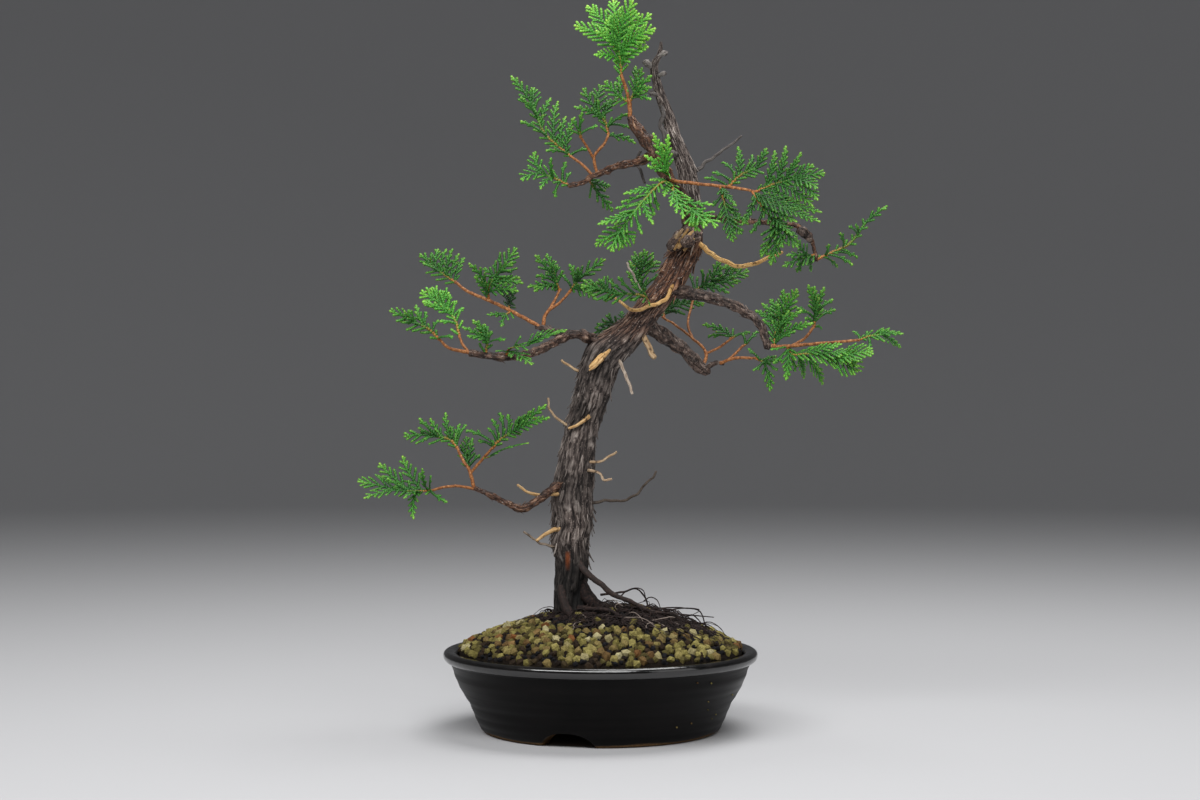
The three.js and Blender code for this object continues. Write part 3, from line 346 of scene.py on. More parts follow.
def makeOldBark():
    material, tree, shader = newMaterial("oldBark", Specular_IOR_Level=0.3)
    grain = readPoint(tree, "grain", "Vector")
    rustHere = readPoint(tree, "rust")
    patches = grainOf(tree, 110, 3, 0.55, (1, 1, 0.6), grain)
    fibres = combine(tree, "SUBTRACT", grainOf(tree, 1100, 5, 0.7, (1, 1, 0.22), grain), 0.42)
    height = combine(tree, "ADD", combine(tree, "MULTIPLY", readPoint(tree, "relief"), 0.75),
                     combine(tree, "MULTIPLY", fibres, 1.15))
    # darker down in the crevices: the underbark's own dark colour, deepened to near black as
    # painted shade
    grey = ramp(tree, height, (0.0, 9, 7, 7), (0.3, 36, 30, 28), (0.52, 78, 70, 66),
                (0.75, 112, 104, 99), (1.0, 166, 157, 150))
    rusty = ramp(tree, height, (0.0, 12, 6, 5), (0.3, 46, 28, 21), (0.6, 98, 66, 48),
                 (0.85, 142, 108, 84), (1.0, 190, 162, 136))
    polish = combine(tree, "MULTIPLY", rustHere, 0.42)
    feed(shader, "Roughness", combine(tree, "SUBTRACT", 0.86, polish))
    rust = combine(tree, "MULTIPLY_ADD", patches, 1.5, -0.55)
    rust = combine(tree, "ADD", rust, rustHere, clamp=True)
    rust = combine(tree, "MULTIPLY", rust, rustHere, clamp=True)
    colour = mixColour(tree, rust, grey, rusty)
    colour = mixColour(tree, readPoint(tree, "bare"), colour, paint(176, 88, 34))
    # pale flakes on the bark, which also stand in as painted highlights, stronger on the glossier
    # limbs
    paleFlecksAndGlints = ramp(tree, grainOf(tree, 1300, 2, 0.5, (1, 1, 0.6), grain), (0.64, 0), (0.7, 1))
    strong = combine(tree, "ADD", combine(tree, "MULTIPLY", rustHere, 0.4), 0.3)
    paleFlecksAndGlints = combine(tree, "MULTIPLY", paleFlecksAndGlints, strong)
    colour = mixColour(tree, paleFlecksAndGlints, colour, paint(186, 172, 162))
    cloudy = combine(tree, "ADD", combine(tree, "MULTIPLY", patches, 1.1), 0.45)
    shade = combine(tree, "MULTIPLY", readPoint(tree, "tint"), cloudy)
    lighter = addNode(tree, "ShaderNodeHueSaturation", {"Color": colour, "Value": shade})
    feed(shader, "Base Color", lighter.outputs[0])
    addBump(tree, shader, height, 0.9, 0.0008)
    return material


def makeYoungBark():
    material, tree, shader = newMaterial("youngBark", Roughness=0.62, Specular_IOR_Level=0.3)
    bands = grainOf(tree, 520, 5, 0.7, (1, 1, 1.6), readPoint(tree, "grain", "Vector"))
    colour = ramp(tree, bands, (0.32, 56, 32, 18), (0.45, 118, 68, 32), (0.58, 158, 104, 58),
                  (0.76, 206, 164, 116))
    feed(shader, "Base Color", mixColour(tree, readPoint(tree, "dark"), colour, paint(92, 52, 36)))
    addBump(tree, shader, bands, 0.6, 0.0005)
    return material


def makeDeadWood():
    material, tree, shader = newMaterial("deadWood", Roughness=0.75, Specular_IOR_Level=0.3)
    grain = readPoint(tree, "grain", "Vector")
    streaks = grainOf(tree, 900, 4, 0.6, (1, 1, 0.2), grain)
    stains = grainOf(tree, 220, 3, 0.6, (1, 1, 1.2), grain)
    tan = ramp(tree, streaks, (0.25, 132, 92, 50), (0.45, 192, 148, 88), (0.7, 226, 190, 130))
    grey = ramp(tree, streaks, (0.25, 68, 64, 64), (0.5, 140, 133, 128), (0.75, 204, 198, 192))
    colour = mixColour(tree, readPoint(tree, "bleach"), tan, grey)
    spots = ramp(tree, stains, (0.36, 60, 42, 30), (0.44, 1))
    colour = mixColour(tree, 0.75, colour, spots, "MULTIPLY")
    feed(shader, "Base Color", mixColour(tree, readPoint(tree, "dark"), colour, paint(38, 33, 32)))
    addBump(tree, shader, streaks, 0.9, 0.0007)
    return material


def makeRootSkin():
    material, tree, shader = newMaterial("rootSkin", Roughness=0.8, Specular_IOR_Level=0.3)
    patches = grainOf(tree, 700, 4, 0.6)
    colour = ramp(tree, patches, (0.3, 10, 7, 7), (0.5, 29, 19, 17), (0.74, 66, 48, 42))
    colour = mixColour(tree, readPoint(tree, "pale"), colour, paint(150, 136, 126))
    feed(shader, "Base Color", colour)
    addBump(tree, shader, patches, 0.5, 0.0004)
    return material


def makeScaleGreen():
    material, tree, shader = newMaterial("scaleGreen", Roughness=0.5, Specular_IOR_Level=0.3,
                                         Subsurface_Weight=0.1, Subsurface_Scale=0.002)
    spread = combine(tree, "MULTIPLY_ADD", grainOf(tree, 260, 3, 0.6), 0.5, -0.25)
    # tone is paler towards the tips of fronds and shoots: their fresh growth, and painted shade
    # deeper in towards their bases
    ageAndInnerShade = combine(tree, "ADD", readPoint(tree, "tone"), spread, clamp=True)
    # a shaded copy and a lit copy of the greens, which the spray's light picks between: painted
    # shade and painted light, along with older and fresher green
    deep = ramp(tree, ageAndInnerShade, (0.0, 6, 25, 7), (0.35, 19, 60, 18), (0.7, 58, 110, 32),
                (1.0, 146, 186, 70))
    freshAndLit = ramp(tree, ageAndInnerShade, (0.0, 30, 88, 26), (0.35, 74, 148, 48), (0.75, 128, 192, 70),
                 (1.0, 184, 214, 98))
    colour = mixColour(tree, readPoint(tree, "light"), deep, freshAndLit)
    colour = mixColour(tree, readPoint(tree, "wood"), colour, paint(176, 104, 54))
    feed(shader, "Base Color", colour)
    return material


def makeGranuleStone():
    material, tree, shader = newMaterial("granuleStone", Roughness=0.92, Specular_IOR_Level=0.2)
    pores = grainOf(tree, 1600, 4, 0.7)
    # black, dark brown, olive to pale yellow, tan, orange and cream grains
    colour = ramp(tree, readPoint(tree, "kind"), (0.0, 12, 12, 16), (0.2, 28, 27, 31),
                  (0.23, 26, 18, 13), (0.4, 56, 43, 29), (0.45, 84, 76, 42), (0.64, 124, 115, 62),
                  (0.8, 160, 150, 90), (0.88, 122, 104, 64), (0.935, 104, 78, 46),
                  (0.95, 132, 82, 42), (0.96, 146, 134, 88), (1.0, 188, 180, 138))
    shaded = ramp(tree, pores, (0.3, 104, 92, 74), (0.62, 1))
    feed(shader, "Base Color", mixColour(tree, 0.85, colour, shaded, "MULTIPLY"))
    addBump(tree, shader, pores, 0.8, 0.0006)
    return material


def makeWetSoil():
    material, tree, shader = newMaterial("wetSoil", Roughness=0.95, Specular_IOR_Level=0.08)
    crumbs = grainOf(tree, 500, 5, 0.7)
    feed(shader, "Base Color", ramp(tree, crumbs, (0.3, 8, 6, 5), (0.7, 32, 25, 19)))
    addBump(tree, shader, crumbs, 1.0, 0.001)
    return material


def makeLipGlaze():
    material, tree, shader = newMaterial("lipGlaze", Specular_IOR_Level=0.85)
    streaks = grainOf(tree, 160, 4, 0.6)
    feed(shader, "Base Color", ramp(tree, streaks, (0.35, 6, 6, 6), (0.65, 18, 15, 14)))
    feed(shader, "Roughness", ramp(tree, streaks, (0.35, 0.07), (0.65, 0.22)))
    addBump(tree, shader, streaks, 0.25, 0.0006)
    return material


def makeGlaze():
    material, tree, shader = newMaterial("darkGlaze", Specular_IOR_Level=0.1)
    clouds = grainOf(tree, 38, 5, 0.6)
    specks = grainOf(tree, 900, 3, 0.6)
    rings = grainOf(tree, 1, 3, 0.5, (3, 3, 230))
    glazed = readPoint(tree, "glazed")
    bands = combine(tree, "MULTIPLY_ADD", clouds, 0.5, combine(tree, "MULTIPLY", rings, 0.5))
    colour = ramp(tree, bands, (0.3, 3, 3, 3), (0.7, 15, 13, 13))
    clay = ramp(tree, specks, (0.3, 66, 48, 32), (0.7, 130, 100, 66))
    feed(shader, "Base Color", mixColour(tree, glazed, clay, colour))
    gloss = ramp(tree, rings, (0.3, 0.3), (0.7, 0.55))
    feed(shader, "Roughness", mixColour(tree, glazed, (0.85, 0.85, 0.85, 1), gloss))
    height = combine(tree, "ADD", rings, combine(tree, "MULTIPLY", specks, 0.12))
    addBump(tree, shader, height, 0.22, 0.0005)
    return material


def makeScreenPlastic():
    material, tree, shader = newMaterial("screenPlastic", Roughness=0.55)
    scuffs = grainOf(tree, 300, 3, 0.6)
    feed(shader, "Base Color", ramp(tree, scuffs, (0.3, 20, 21, 23), (0.7, 40, 42, 45)))
    addBump(tree, shader, scuffs, 0.3, 0.0003)
    return material


oldBark = makeOldBark()
youngBark = makeYoungBark()
deadWood = makeDeadWood()
rootSkin = makeRootSkin()
scaleGreen = makeScaleGreen()
granuleStone = makeGranuleStone()
wetSoil = makeWetSoil()
darkGlaze = makeGlaze()
lipGlaze = makeLipGlaze()
print("materials made")

# Camera: level, in front of the pot
eye = bpy.data.cameras.new("frontCamera")
eye.lens = view["lens"]
eye.sensor_width = view["sensor"]
camera = bpy.data.objects.new("frontCamera", eye)
camera.location = (potX + view["eyeAside"] * mm, potY - view["eyeDistance"] * mm,
                   view["eyeHeight"] * mm)
camera.rotation_euler = (math.pi / 2, 0, 0)
bpy.context.scene.collection.objects.link(camera)
bpy.context.scene.camera = camera

# Pot
pot = {
    "turns": 200,
    "arches": 3,
    "archWidth": 33,
    "archHeight": 9,
    "archRadius": 70,  # where the arches' width is measured
    "archFade": 14,  # height at which the outside no longer follows the arches
    "firstArch": -15.6,  # degrees from the front, to the left
    "floorUnder": 9.5,  # the hollow under the floor, which the arches open
    "floorTop": 12,
    "wallTop": 44,
    "rings": 0.13,  # how far the throwing rings stand out
    "ringsTop": 45,
    "bareClay": 1.5,  # the lowest part of the foot has no glaze
    "lipFrom": 43.6,  # height at which the glossier glaze starts
    "lipMiddle": (93.2, 46.4),
    "lipGlaze": 0.15,
    "stuckGrains": 9,
    "stuckTurns": (-62, 42),  # degrees from the right side, and how far they spread
    "stuckHeights": (10, 30),
    "outside": [(71, 0), (73.6, 1.0), (75.2, 2.8), (78.2, 9), (82, 18), (85.4, 23.4), (88, 28),
                (90.8, 34.5), (93, 41), (94.2, 43), (96.4, 44), (97.6, 45.4), (98, 47),
                (97.6, 48.8), (96.2, 49.9), (94, 50), (92, 49.8), (90.3, 48.6), (89.4, 46.5)],
    "inside": [(87.5, 40), (81, 27), (74, 20.4), (68, 15.6), (40, 15.6), (9, 15.6), (9, 12.6),
               (9, 9.6), (35, 9.6), (61, 9.6), (61.9, 4), (63, 0)],
}


def sectionLine(rows, step):
    # a smooth section of the pot, as radius and height
    places = np.array([(r, 0, z) for r, z in rows], float) * mm
    return smoothLine(places, np.ones(len(rows)) * mm, step * mm)[0][:, [0, 2]] / mm


def archMiddle(i):
    return math.radians(pot["firstArch"] + i * 360 / pot["arches"]) - math.pi / 2


def archAt(turn):
    # how far the foot's edge is lifted at an angle round the pot
    lift = 0
    for i in range(pot["arches"]):
        off = (turn - archMiddle(i) + math.pi) % (2 * math.pi) - math.pi
        across = abs(off) * pot["archRadius"] / (pot["archWidth"] / 2)
        lift = max(lift, pot["archHeight"] * max(0, 1 - across ** 2.4) ** 0.75 if across < 1 else 0)
    return lift


def makePot():
    outside, inside = sectionLine(pot["outside"], 0.9), sectionLine(pot["inside"], 4)
    profile = np.vstack([outside, inside])
    wall = outside[:int(np.argmax(outside[:, 1] > pot["wallTop"]))]
    turns = set(np.linspace(0, 2 * math.pi, pot["turns"], endpoint=False).round(6))
    for i in range(pot["arches"]):
        # more sections where an arch comes down to the ground
        for side in (-1, 1):
            for share in np.linspace(0.86, 1.01, 14):
                off = side * share * pot["archWidth"] / (2 * pot["archRadius"])
                turns.add(round((archMiddle(i) + off) % (2 * math.pi), 6))
    turns = sorted(turns)
    places, glazed = [], []
    for turn in turns:
        lift = archAt(turn)
        glazeEdge = pot["bareClay"] + 0.4 * math.sin(turn * 9)
        for k, (radius, height) in enumerate(profile):
            outer = k < len(outside)
            if outer and height < pot["archFade"]:
                height = lift + height * (pot["archFade"] - lift) / pot["archFade"]
                radius = np.interp(height, wall[:, 1], wall[:, 0])
            elif not outer and height < pot["floorUnder"]:
                height = max(height, lift)
            if outer and height < pot["ringsTop"]:
                wave = math.sin(height * 0.95 + 0.6 * math.sin(turn * 2))
                radius += pot["rings"] * wave * min(1, height / 8)
            places.append((potX + radius * math.cos(turn) * mm, potY + radius * math.sin(turn) * mm,
                           height * mm))
            glazed.append(min(1, max(0, (height - glazeEdge) / 0.6)) if outer
                          else float(height > pot["floorTop"]))
    return meshFrom("glazedPot", [{"places": np.array(places), "glazed": glazed,
                                   "faces": hoopFaces(len(turns), len(profile))}], darkGlaze)


def makeLip():
    # a skin of glossier glaze over the lip, closed through the clay
    outside = sectionLine(pot["outside"], 0.6)
    rim = outside[int(np.argmax(outside[:, 1] > pot["lipFrom"])):]
    rim = rim + units(rim - np.array(pot["lipMiddle"])) * pot["lipGlaze"]
    profile = np.vstack([rim, [pot["lipMiddle"]]])
    turn = np.repeat(np.arange(pot["turns"]) * 2 * math.pi / pot["turns"], len(profile))
    radius, height = np.tile(profile, (pot["turns"], 1)).T * mm
    places = np.column_stack([potX + radius * np.cos(turn), potY + radius * np.sin(turn), height])
    return meshFrom("potLip", [{"places": places, "faces": hoopFaces(pot["turns"], len(profile))}],
                    lipGlaze)


def makeStuckGrains():
    # grit that has stuck to the pot's right side
    parts = []
    wall = np.array(pot["outside"][:10], float)
    firstTurn, turnReach = pot["stuckTurns"]
    lowest, heightReach = pot["stuckHeights"]
    for i in range(pot["stuckGrains"]):
        draw = lambda k: float(chance(i * 1.3 + k, 31))
        turn, height = math.radians(firstTurn + turnReach * draw(1)), lowest + heightReach * draw(2)
        out = np.array([math.cos(turn), math.sin(turn), 0])
        radius = float(np.interp(height, wall[:, 1], wall[:, 0])) + 0.2
        shape = granuleShape(i % 3)
        places = np.array([v.co[:] for v in shape.data.vertices]) * (0.8 + 0.7 * draw(3)) * mm
        parts.append({"places": places + np.array([potX, potY, height * mm]) + out * radius * mm,
                      "faces": [tuple(f.vertices) for f in shape.data.polygons],
                      "kind": np.full(len(places), 0.6 + 0.4 * draw(4))})
        bpy.data.objects.remove(shape)
    return meshFrom("stuckGrains", parts, granuleStone)


setPiece(makePot(), "glaze", "pot")
setPiece(makeLip(), "glaze", "pot")
frame["nodes"]["drain_screen"].material_slots[0].material = makeScreenPlastic()
print("pot made")

# Soil
soil = {
    "radius": 88.4,
    "edgeHeight": 49.3,
    "rise": 22.5,
    "heap": (22, 4, 4, 34),  # x, y, height and spread of the rise over the roots
    "skirt": [(87.9, 46), (86.9, 40), (80.4, 27), (67.4, 16.2)],  # radius and height
    "matMiddle": (14, 2),  # where roots and dark crumbs cover the soil, and how far that reaches
    "matReach": (58, 48),
    "densest": 400000.0,  # grains to a square metre, before their spacing thins them
    "sizeChange": 0.36,
    "seed": 7,
    # how far in from the edge, how deep, spacing, size, shares off and on the mat, and the least
    # and the most kind, which is a place on the stone's ramp of colours
    "topGranules": (1.2, -1.0, 0.0038, 0.0048, 1.0, 0.1, 0.0, 1.0),
    # the low layer holds only the dark kinds, as painted shade in the gaps between the top grains
    "lowGranules": (1.8, 0.7, 0.0042, 0.0048, 1.0, 0.25, 0.0, 0.46),
    "soilCrumbs": (4.0, 0.0, 0.0016, 0.0019, 0.05, 0.8, 0.0, 0.24),
}


def moundHeight(x, y):
    share = np.minimum((x * x + y * y) / soil["radius"] ** 2, 1)
    heapX, heapY, heapHeight, heapSpread = soil["heap"]
    heap = heapHeight * np.exp(-((x - heapX) ** 2 + (y - heapY) ** 2) / heapSpread ** 2)
    return soil["edgeHeight"] + soil["rise"] * (1 - share) ** 0.9 + heap


def onMat(x, y):
    away = math.hypot((x - soil["matMiddle"][0]) / soil["matReach"][0],
                      (y - soil["matMiddle"][1]) / soil["matReach"][1])
    ragged = 0.16 * noise.noise(Vector((x / 9, y / 9, 3)))
    return min(1, max(0, (1.06 - away + ragged) / 0.16))


def moundRings(name, reach, rings, around, lower, skirt):
    # the mound's top in rings round its middle, and a skirt under its edge
    places, mats = [(potX, potY, (moundHeight(0.0, 0.0) - lower) * mm)], [1.0]
    profile = [(reach * (i + 1) / rings, None) for i in range(rings)] + list(skirt)
    for radius, height in profile:
        for k in range(around):
            turn = 2 * math.pi * k / around
            x, y = radius * math.cos(turn), radius * math.sin(turn)
            z = moundHeight(x, y) - lower if height is None else height
            places.append((potX + x * mm, potY + y * mm, z * mm))
            mats.append(onMat(x, y))
    faces = [(0, 1 + k, 1 + (k + 1) % around) for k in range(around)]
    faces += ringFaces(len(profile), around, 1, outward=False)
    if skirt:
        last = 1 + (len(profile) - 1) * around
        faces.append(tuple(last + k for k in reversed(range(around))))
    return meshFrom(name, [{"places": np.array(places), "faces": faces, "mat": mats}], wetSoil)


def granuleShape(index):
    # an angular grain of 5 sides
    draw = lambda k: float(chance(k, index + 3)) - 0.5
    places = [(0.2 * draw(1), 0.2 * draw(2), -0.44)]
    for j, (out, z) in enumerate(((0.44, -0.2), (0.46, 0.18))):
        for k in range(5):
            turn = 2 * math.pi * (k + 0.5 * j + 0.5 * draw(k + 7 * j)) / 5
            reach = out * (1 + 0.5 * draw(k + 11 * j + 20))
            places.append((reach * math.cos(turn), reach * (0.8 + 0.1 * index) * math.sin(turn),
                           z + 0.24 * draw(k + 13 * j + 40)))
    places.append((0.25 * draw(3), 0.25 * draw(4), 0.42))
    faces = [(0, 1 + (k + 1) % 5, 1 + k) for k in range(5)]
    faces += [(1 + k, 1 + (k + 1) % 5, 6 + k) for k in range(5)]
    faces += [(1 + (k + 1) % 5, 6 + (k + 1) % 5, 6 + k) for k in range(5)]
    faces += [(11, 6 + k, 6 + (k + 1) % 5) for k in range(5)]
    return meshFrom(f"granuleShape{index}", [{"places": np.array(places), "faces": faces}],
                    granuleStone)


def makeGranuleTree():
    tree, given = newTree("granuleCover", {
        "Spacing": "Float", "Size": "Float", "Size change": "Float", "Off the mat": "Float",
        "On the mat": "Float", "Least kind": "Float", "Most kind": "Float", "Densest": "Float",
        "Seed": "Int", "Shape 1": "Object", "Shape 2": "Object", "Shape 3": "Object",
        "Material": "Material"})
    seed = given["Seed"]
    share = addNode(tree, "ShaderNodeMapRange", {
        "Value": named(tree, "mat"), "To Min": given["Off the mat"], "To Max": given["On the mat"]})
    spread = addNode(tree, "GeometryNodeDistributePointsOnFaces", {
        "Mesh": given["Geometry"], "Distance Min": given["Spacing"], "Seed": seed,
        "Density Max": given["Densest"], "Density Factor": share.outputs[0]},
        distribute_method="POISSON")
    kept = addNode(tree, "GeometryNodeStoreNamedAttribute", {
        "Geometry": spread.outputs["Points"], "Name": "kind",
        "Value": randomOf(tree, given["Least kind"], given["Most kind"], seed)}, domain="POINT")
    shapes = addNode(tree, "GeometryNodeJoinGeometry")
    for label in ("Shape 3", "Shape 2", "Shape 1"):
        shape = addNode(tree, "GeometryNodeObjectInfo", {"Object": given[label]})
        alone = addNode(tree, "GeometryNodeGeometryToInstance", {0: shape.outputs["Geometry"]})
        tree.links.new(alone.outputs[0], shapes.inputs[0])
    least, most = (combine(tree, kind, 1.0, given["Size change"]) for kind in ("SUBTRACT", "ADD"))
    placed = addNode(tree, "GeometryNodeInstanceOnPoints", {
        "Points": kept.outputs[0], "Instance": shapes.outputs[0], "Pick Instance": True,
        "Instance Index": randomOf(tree, 0, 2, seed, "INT"),
        "Rotation": randomOf(tree, (0, 0, 0), (6.28, 6.28, 6.28), seed, "FLOAT_VECTOR"),
        "Scale": combine(tree, "MULTIPLY", randomOf(tree, least, most, seed), given["Size"])})
    endTree(tree, placed.outputs[0], ("mat",), smooth=False)
    return tree


def makeSoil():
    bed = moundRings("soilBed", soil["radius"], 30, 96, 0, soil["skirt"])
    setPiece(bed, "grit", "potting_soil")
    shapes = [granuleShape(i) for i in range(3)]
    tree = makeGranuleTree()
    for seed, name in enumerate(("topGranules", "lowGranules", "soilCrumbs"), soil["seed"]):
        inside, lower, spacing, size, off, on, least, most = soil[name]
        layer = moundRings(name, soil["radius"] - inside, 40, 120, lower, ())
        grow(layer, tree, {"Spacing": spacing, "Size": size, "Size change": soil["sizeChange"],
                           "Off the mat": off, "On the mat": on, "Least kind": least,
                           "Most kind": most, "Densest": soil["densest"], "Seed": seed,
                           "Shape 1": shapes[0], "Shape 2": shapes[1], "Shape 3": shapes[2],
                           "Material": granuleStone})
        setPiece(layer, "grit")
    for shape in shapes:
        bpy.data.objects.remove(shape)


makeSoil()
setPiece(makeStuckGrains(), "grit", "potting_soil")
print("soil made")

# Bark: strips that run along a limb, each of them lifting at its lower end
trunkLine = [
    (-17, 70, 0, 11.5), (-18, 87, 0, 10.2), (-18, 106, 0, 10.4), (-19, 118, 0, 12),
    (-17, 131, -1, 12), (-18, 143, -1, 12.5), (-17, 156, -1, 12), (-15, 168, -1, 11.5),
    (-13, 181, 0, 10.6), (-10, 193, 0, 11), (-6, 206, 0, 10.8), (-1, 225, 0, 11.5), (3, 234, 0, 12),
    (11, 242, 0, 10.5), (20, 251, 0, 9), (28, 261, 0, 8.5), (36, 270, 0, 8.5), (44, 281, 0, 8.5),
    (50, 292, 0, 8), (55, 303, 0, 9), (58, 315, 0, 6.4), (57, 331, 0, 5.3), (54, 350, 1, 5.6),
    (50, 361, 2, 5), (45, 372, 3, 4.5), (42, 384, 4, 3.8), (38, 395, 4, 3.3), (35, 406, 5, 2.8),
    (33.5, 415, 5, 2.6), (37, 422.5, 5, 1.7), (38, 430, 5, 0.8),
]

bark = {
    "trunkSides": 176,
    "trunkStep": 0.95 * mm,
    "trunkDepth": 1.5 * mm,
    "trunkStrip": 2.0 * mm,  # width of a strip of bark
    "trunkRun": 22 * mm,  # length of a strip
    "trunkKnobs": 0.16,  # how far the limb's girth swells and shrinks along it
    "limbSides": 32,
    "limbStep": 0.75 * mm,
    "limbDepth": 1.35 * mm,
    "limbStrip": 1.9 * mm,
    "limbRun": 4.5 * mm,
    "limbKnobs": 0.42,
    "limbKnobRun": 0.3,  # length of a knob, against the limb's girth
    "limbFlare": 0.35,
    "limbSwell": {"leader": 0.4, "upperLeft": 0.1},  # mm added to a limb's radius
    "otherSwell": -0.35,
    "thinnest": 1.1 * mm,
    "rust": {"leader": 1.0, "upperLeft": 1.0, "lowLeft": 0.9, "farRight": 0.95, "middleLeft": 0.7},
    "otherRust": 0.5,
    "knotTint": 1.75,
    "limbTint": 0.85,
    "limbShag": 0.35,
    # places on the trunk's front: x, z, half width, half height, brightness and depth; the
    # brightness is painted light and painted shade, mostly lighter where the bark bulges out and
    # darker where it is pushed in, along with the bark's own patchy tone
    "spots": [(-9.7, 197, 3.4, 5, 0.3, 2.4), (-17, 176, 6, 17, 1.35, -0.5),
              (-16, 127, 7, 10, 1.5, -1.2), (0, 231, 10, 8, 0.55, 0), (-14, 151, 4, 8, 0.6, 0.9),
              (-3, 207, 3, 8, 1.35, -0.8), (24, 258, 12, 14, 1.2, 0), (44, 284, 9, 15, 1.3, 0)],
}


def barkRelief(turn, far, girth, strip, run, seed):
    # turn is from 0 to 1 round the limb, far in metres along it
    count = max(5, int(round(girth / strip)))
    circle = np.column_stack([np.cos(turn * 2 * math.pi), np.sin(turn * 2 * math.pi)])
    drift = noiseOf(np.column_stack([circle * 0.9 + seed, far / (run * 1.1)]))
    wobble = noiseOf(np.column_stack([circle * 2.3 - seed, far / (run * 0.35)]))
    ragged = noiseOf(np.column_stack([circle * girth / 6.28 / (1.3 * mm) + 5, far / (3 * mm)]))
    column = turn * count + 1.2 * drift + 0.5 * wobble + 0.3 * ragged
    whole = np.floor(column)
    across = column - whole
    pair = np.floor((whole % count) / 2)
    joined = chance(pair, np.floor(far / (run * 1.7)) + seed) > 0.6  # some strips are twice as wide
    across = np.where(joined, (across + (whole % count) % 2) / 2, across)
    whole = np.where(joined, pair * 2, whole % count)
    place = -far / run * (0.75 + 0.6 * chance(whole, seed))
    place = place + 9.1 * chance(whole, seed + 5) + 0.14 * ragged
    part = np.floor(place)
    down = place - part
    lift = chance(whole * 3.1, part + seed)
    crown = 1 - np.abs(2 * across - 1) ** 2.6
    flake = 0.45 + 0.2 * lift + (0.15 + 0.35 * lift) * down ** 2
    flake *= np.clip((1 - down) / 0.05, 0, 1) ** 0.5 * np.clip(down / 0.03 + 0.35, 0, 1)
    fibre = noiseOf(np.column_stack([circle * girth / 6.28 / (0.8 * mm), far / (5 * mm)]))
    rough = noiseOf(np.column_stack([circle * girth / 6.28 / (3 * mm), far / (5 * mm)]))
    relief = np.clip(crown ** 0.7, 0, 1) * flake * (0.8 + 0.5 * rough) + 0.2 * fibre + 0.1 * rough
    return np.clip(relief + 0.08, 0, 1), 0.9 + 0.2 * chance(whole + 0.7, part * 1.7 + seed)


def limbMesh(line, radii, far, sides, depth, strip, run, seed, flare=0.0, knobs=0.12, knobRun=0.55):
    ways, normals, others = framesAlong(line)
    steps = len(line)
    turn = np.tile(np.arange(sides) / sides, steps)
    step = np.repeat(np.arange(steps), sides)
    angle = turn * 2 * math.pi
    girth = 2 * math.pi * float(np.mean(radii))
    relief, tint = barkRelief(turn, far[step], girth, strip, run, seed)
    flute = noiseOf(np.column_stack([np.cos(angle) * 1.3, np.sin(angle) * 1.3,
                                     far[step] / (girth * knobRun)]))
    collar = 1 + flare * np.exp(-far[step] / (2.2 * radii[0]))
    shallow = np.minimum(1, radii[step] / (depth * 5))
    radius = radii[step] * (1 + knobs * flute) * collar + depth * shallow * (relief - 0.5)
    radius = np.maximum(radius, 0.25 * mm)
    out = normals[step] * np.cos(angle)[:, None] + others[step] * np.sin(angle)[:, None]
    places = line[step] + out * radius[:, None]
    grain = np.column_stack([radii[step] * np.cos(angle), radii[step] * np.sin(angle), far[step]])
    faces = ringFaces(steps, sides)
    first, last = len(places), len(places) + 1
    places = np.vstack([places, line[0] - ways[0] * radii[0] * 0.3,
                        line[-1] + ways[-1] * radii[-1] * 0.6])
    faces += [(first, (k + 1) % sides, k) for k in range(sides)]
    top = (steps - 1) * sides
    faces += [(last, top + k, top + (k + 1) % sides) for k in range(sides)]
    return {"places": places, "faces": faces, "relief": np.append(relief, [0.5, 0.5]),
            "tint": np.append(tint, [1, 1]),
            "grain": np.vstack([grain, [0, 0, 0], [0, 0, far[-1]]]),
            "way": np.vstack([ways[step], ways[0], ways[-1]]),
            "out": np.vstack([out, -ways[0], ways[-1]])}


def rising(value, start, run):
    # from 0 at the start to 1 after the run, which may go down
    return np.clip((value - start) / run, 0, 1)


def peak(value, middle, half):
    return np.clip(1 - np.abs(value - middle) / half, 0, 1)


def bell(value, middle, spread):
    return np.exp(-((value - middle) / spread) ** 2)


def makeTrunk():
    line, radii, far = smoothLine(*seenLine(trunkLine), bark["trunkStep"])
    part = limbMesh(line, radii, far, bark["trunkSides"], bark["trunkDepth"], bark["trunkStrip"],
                    bark["trunkRun"], 3, knobs=bark["trunkKnobs"])
    height = part["places"][:, 2] / mm
    x = (part["places"][:, 0] - potX) / mm
    front = -part["out"][:, 1]
    part["rust"] = rising(height, 238, 10) * rising(height, 318, -12) * 0.62 + 0.08
    part["rust"] += 0.3 * rising(height, 262, 12) * rising(height, 312, -8)
    # one bare orange strip low on the left
    part["bare"] = (peak(x, -20.4, 1.7) * peak(height, 106, 6) * (front > 0.2)) ** 0.5
    # the hollow between the roots, pushed in, and darkened with painted shade
    hollow = peak(height, 84, 16) * rising(x, -19, 3) * (front > -0.2)
    part["places"][:] -= part["out"] * (hollow * 5 * mm)[:, None]
    part["tint"] *= 1 - 0.85 * hollow
    # painted light and painted shade on the trunk's front, with the bulges and hollows of the spots
    for spotX, spotZ, wide, tall, bright, deep in bark["spots"]:
        share = np.exp(-((x - spotX) / wide) ** 2 - ((height - spotZ) / tall) ** 2) * (front > 0)
        part["tint"] *= 1 + (bright - 1) * share
        part["places"][:] -= part["out"] * (share * deep * mm)[:, None]
    # dark and damp at the foot, bleached towards the top
    part["tint"] *= 1 - 0.82 * rising(height, 116, -14)
    part["tint"] *= 1 + 0.45 * rising(height, 325, 20)
    part["shag"] = (0.3 + 0.8 * bell(height, 128, 12) + 0.5 * bell(height, 305, 9)
                    + 0.2 * bell(height, 200, 12)) * (height > 106) * (height < 400)
    return meshFrom("trunkBark", [part], oldBark)


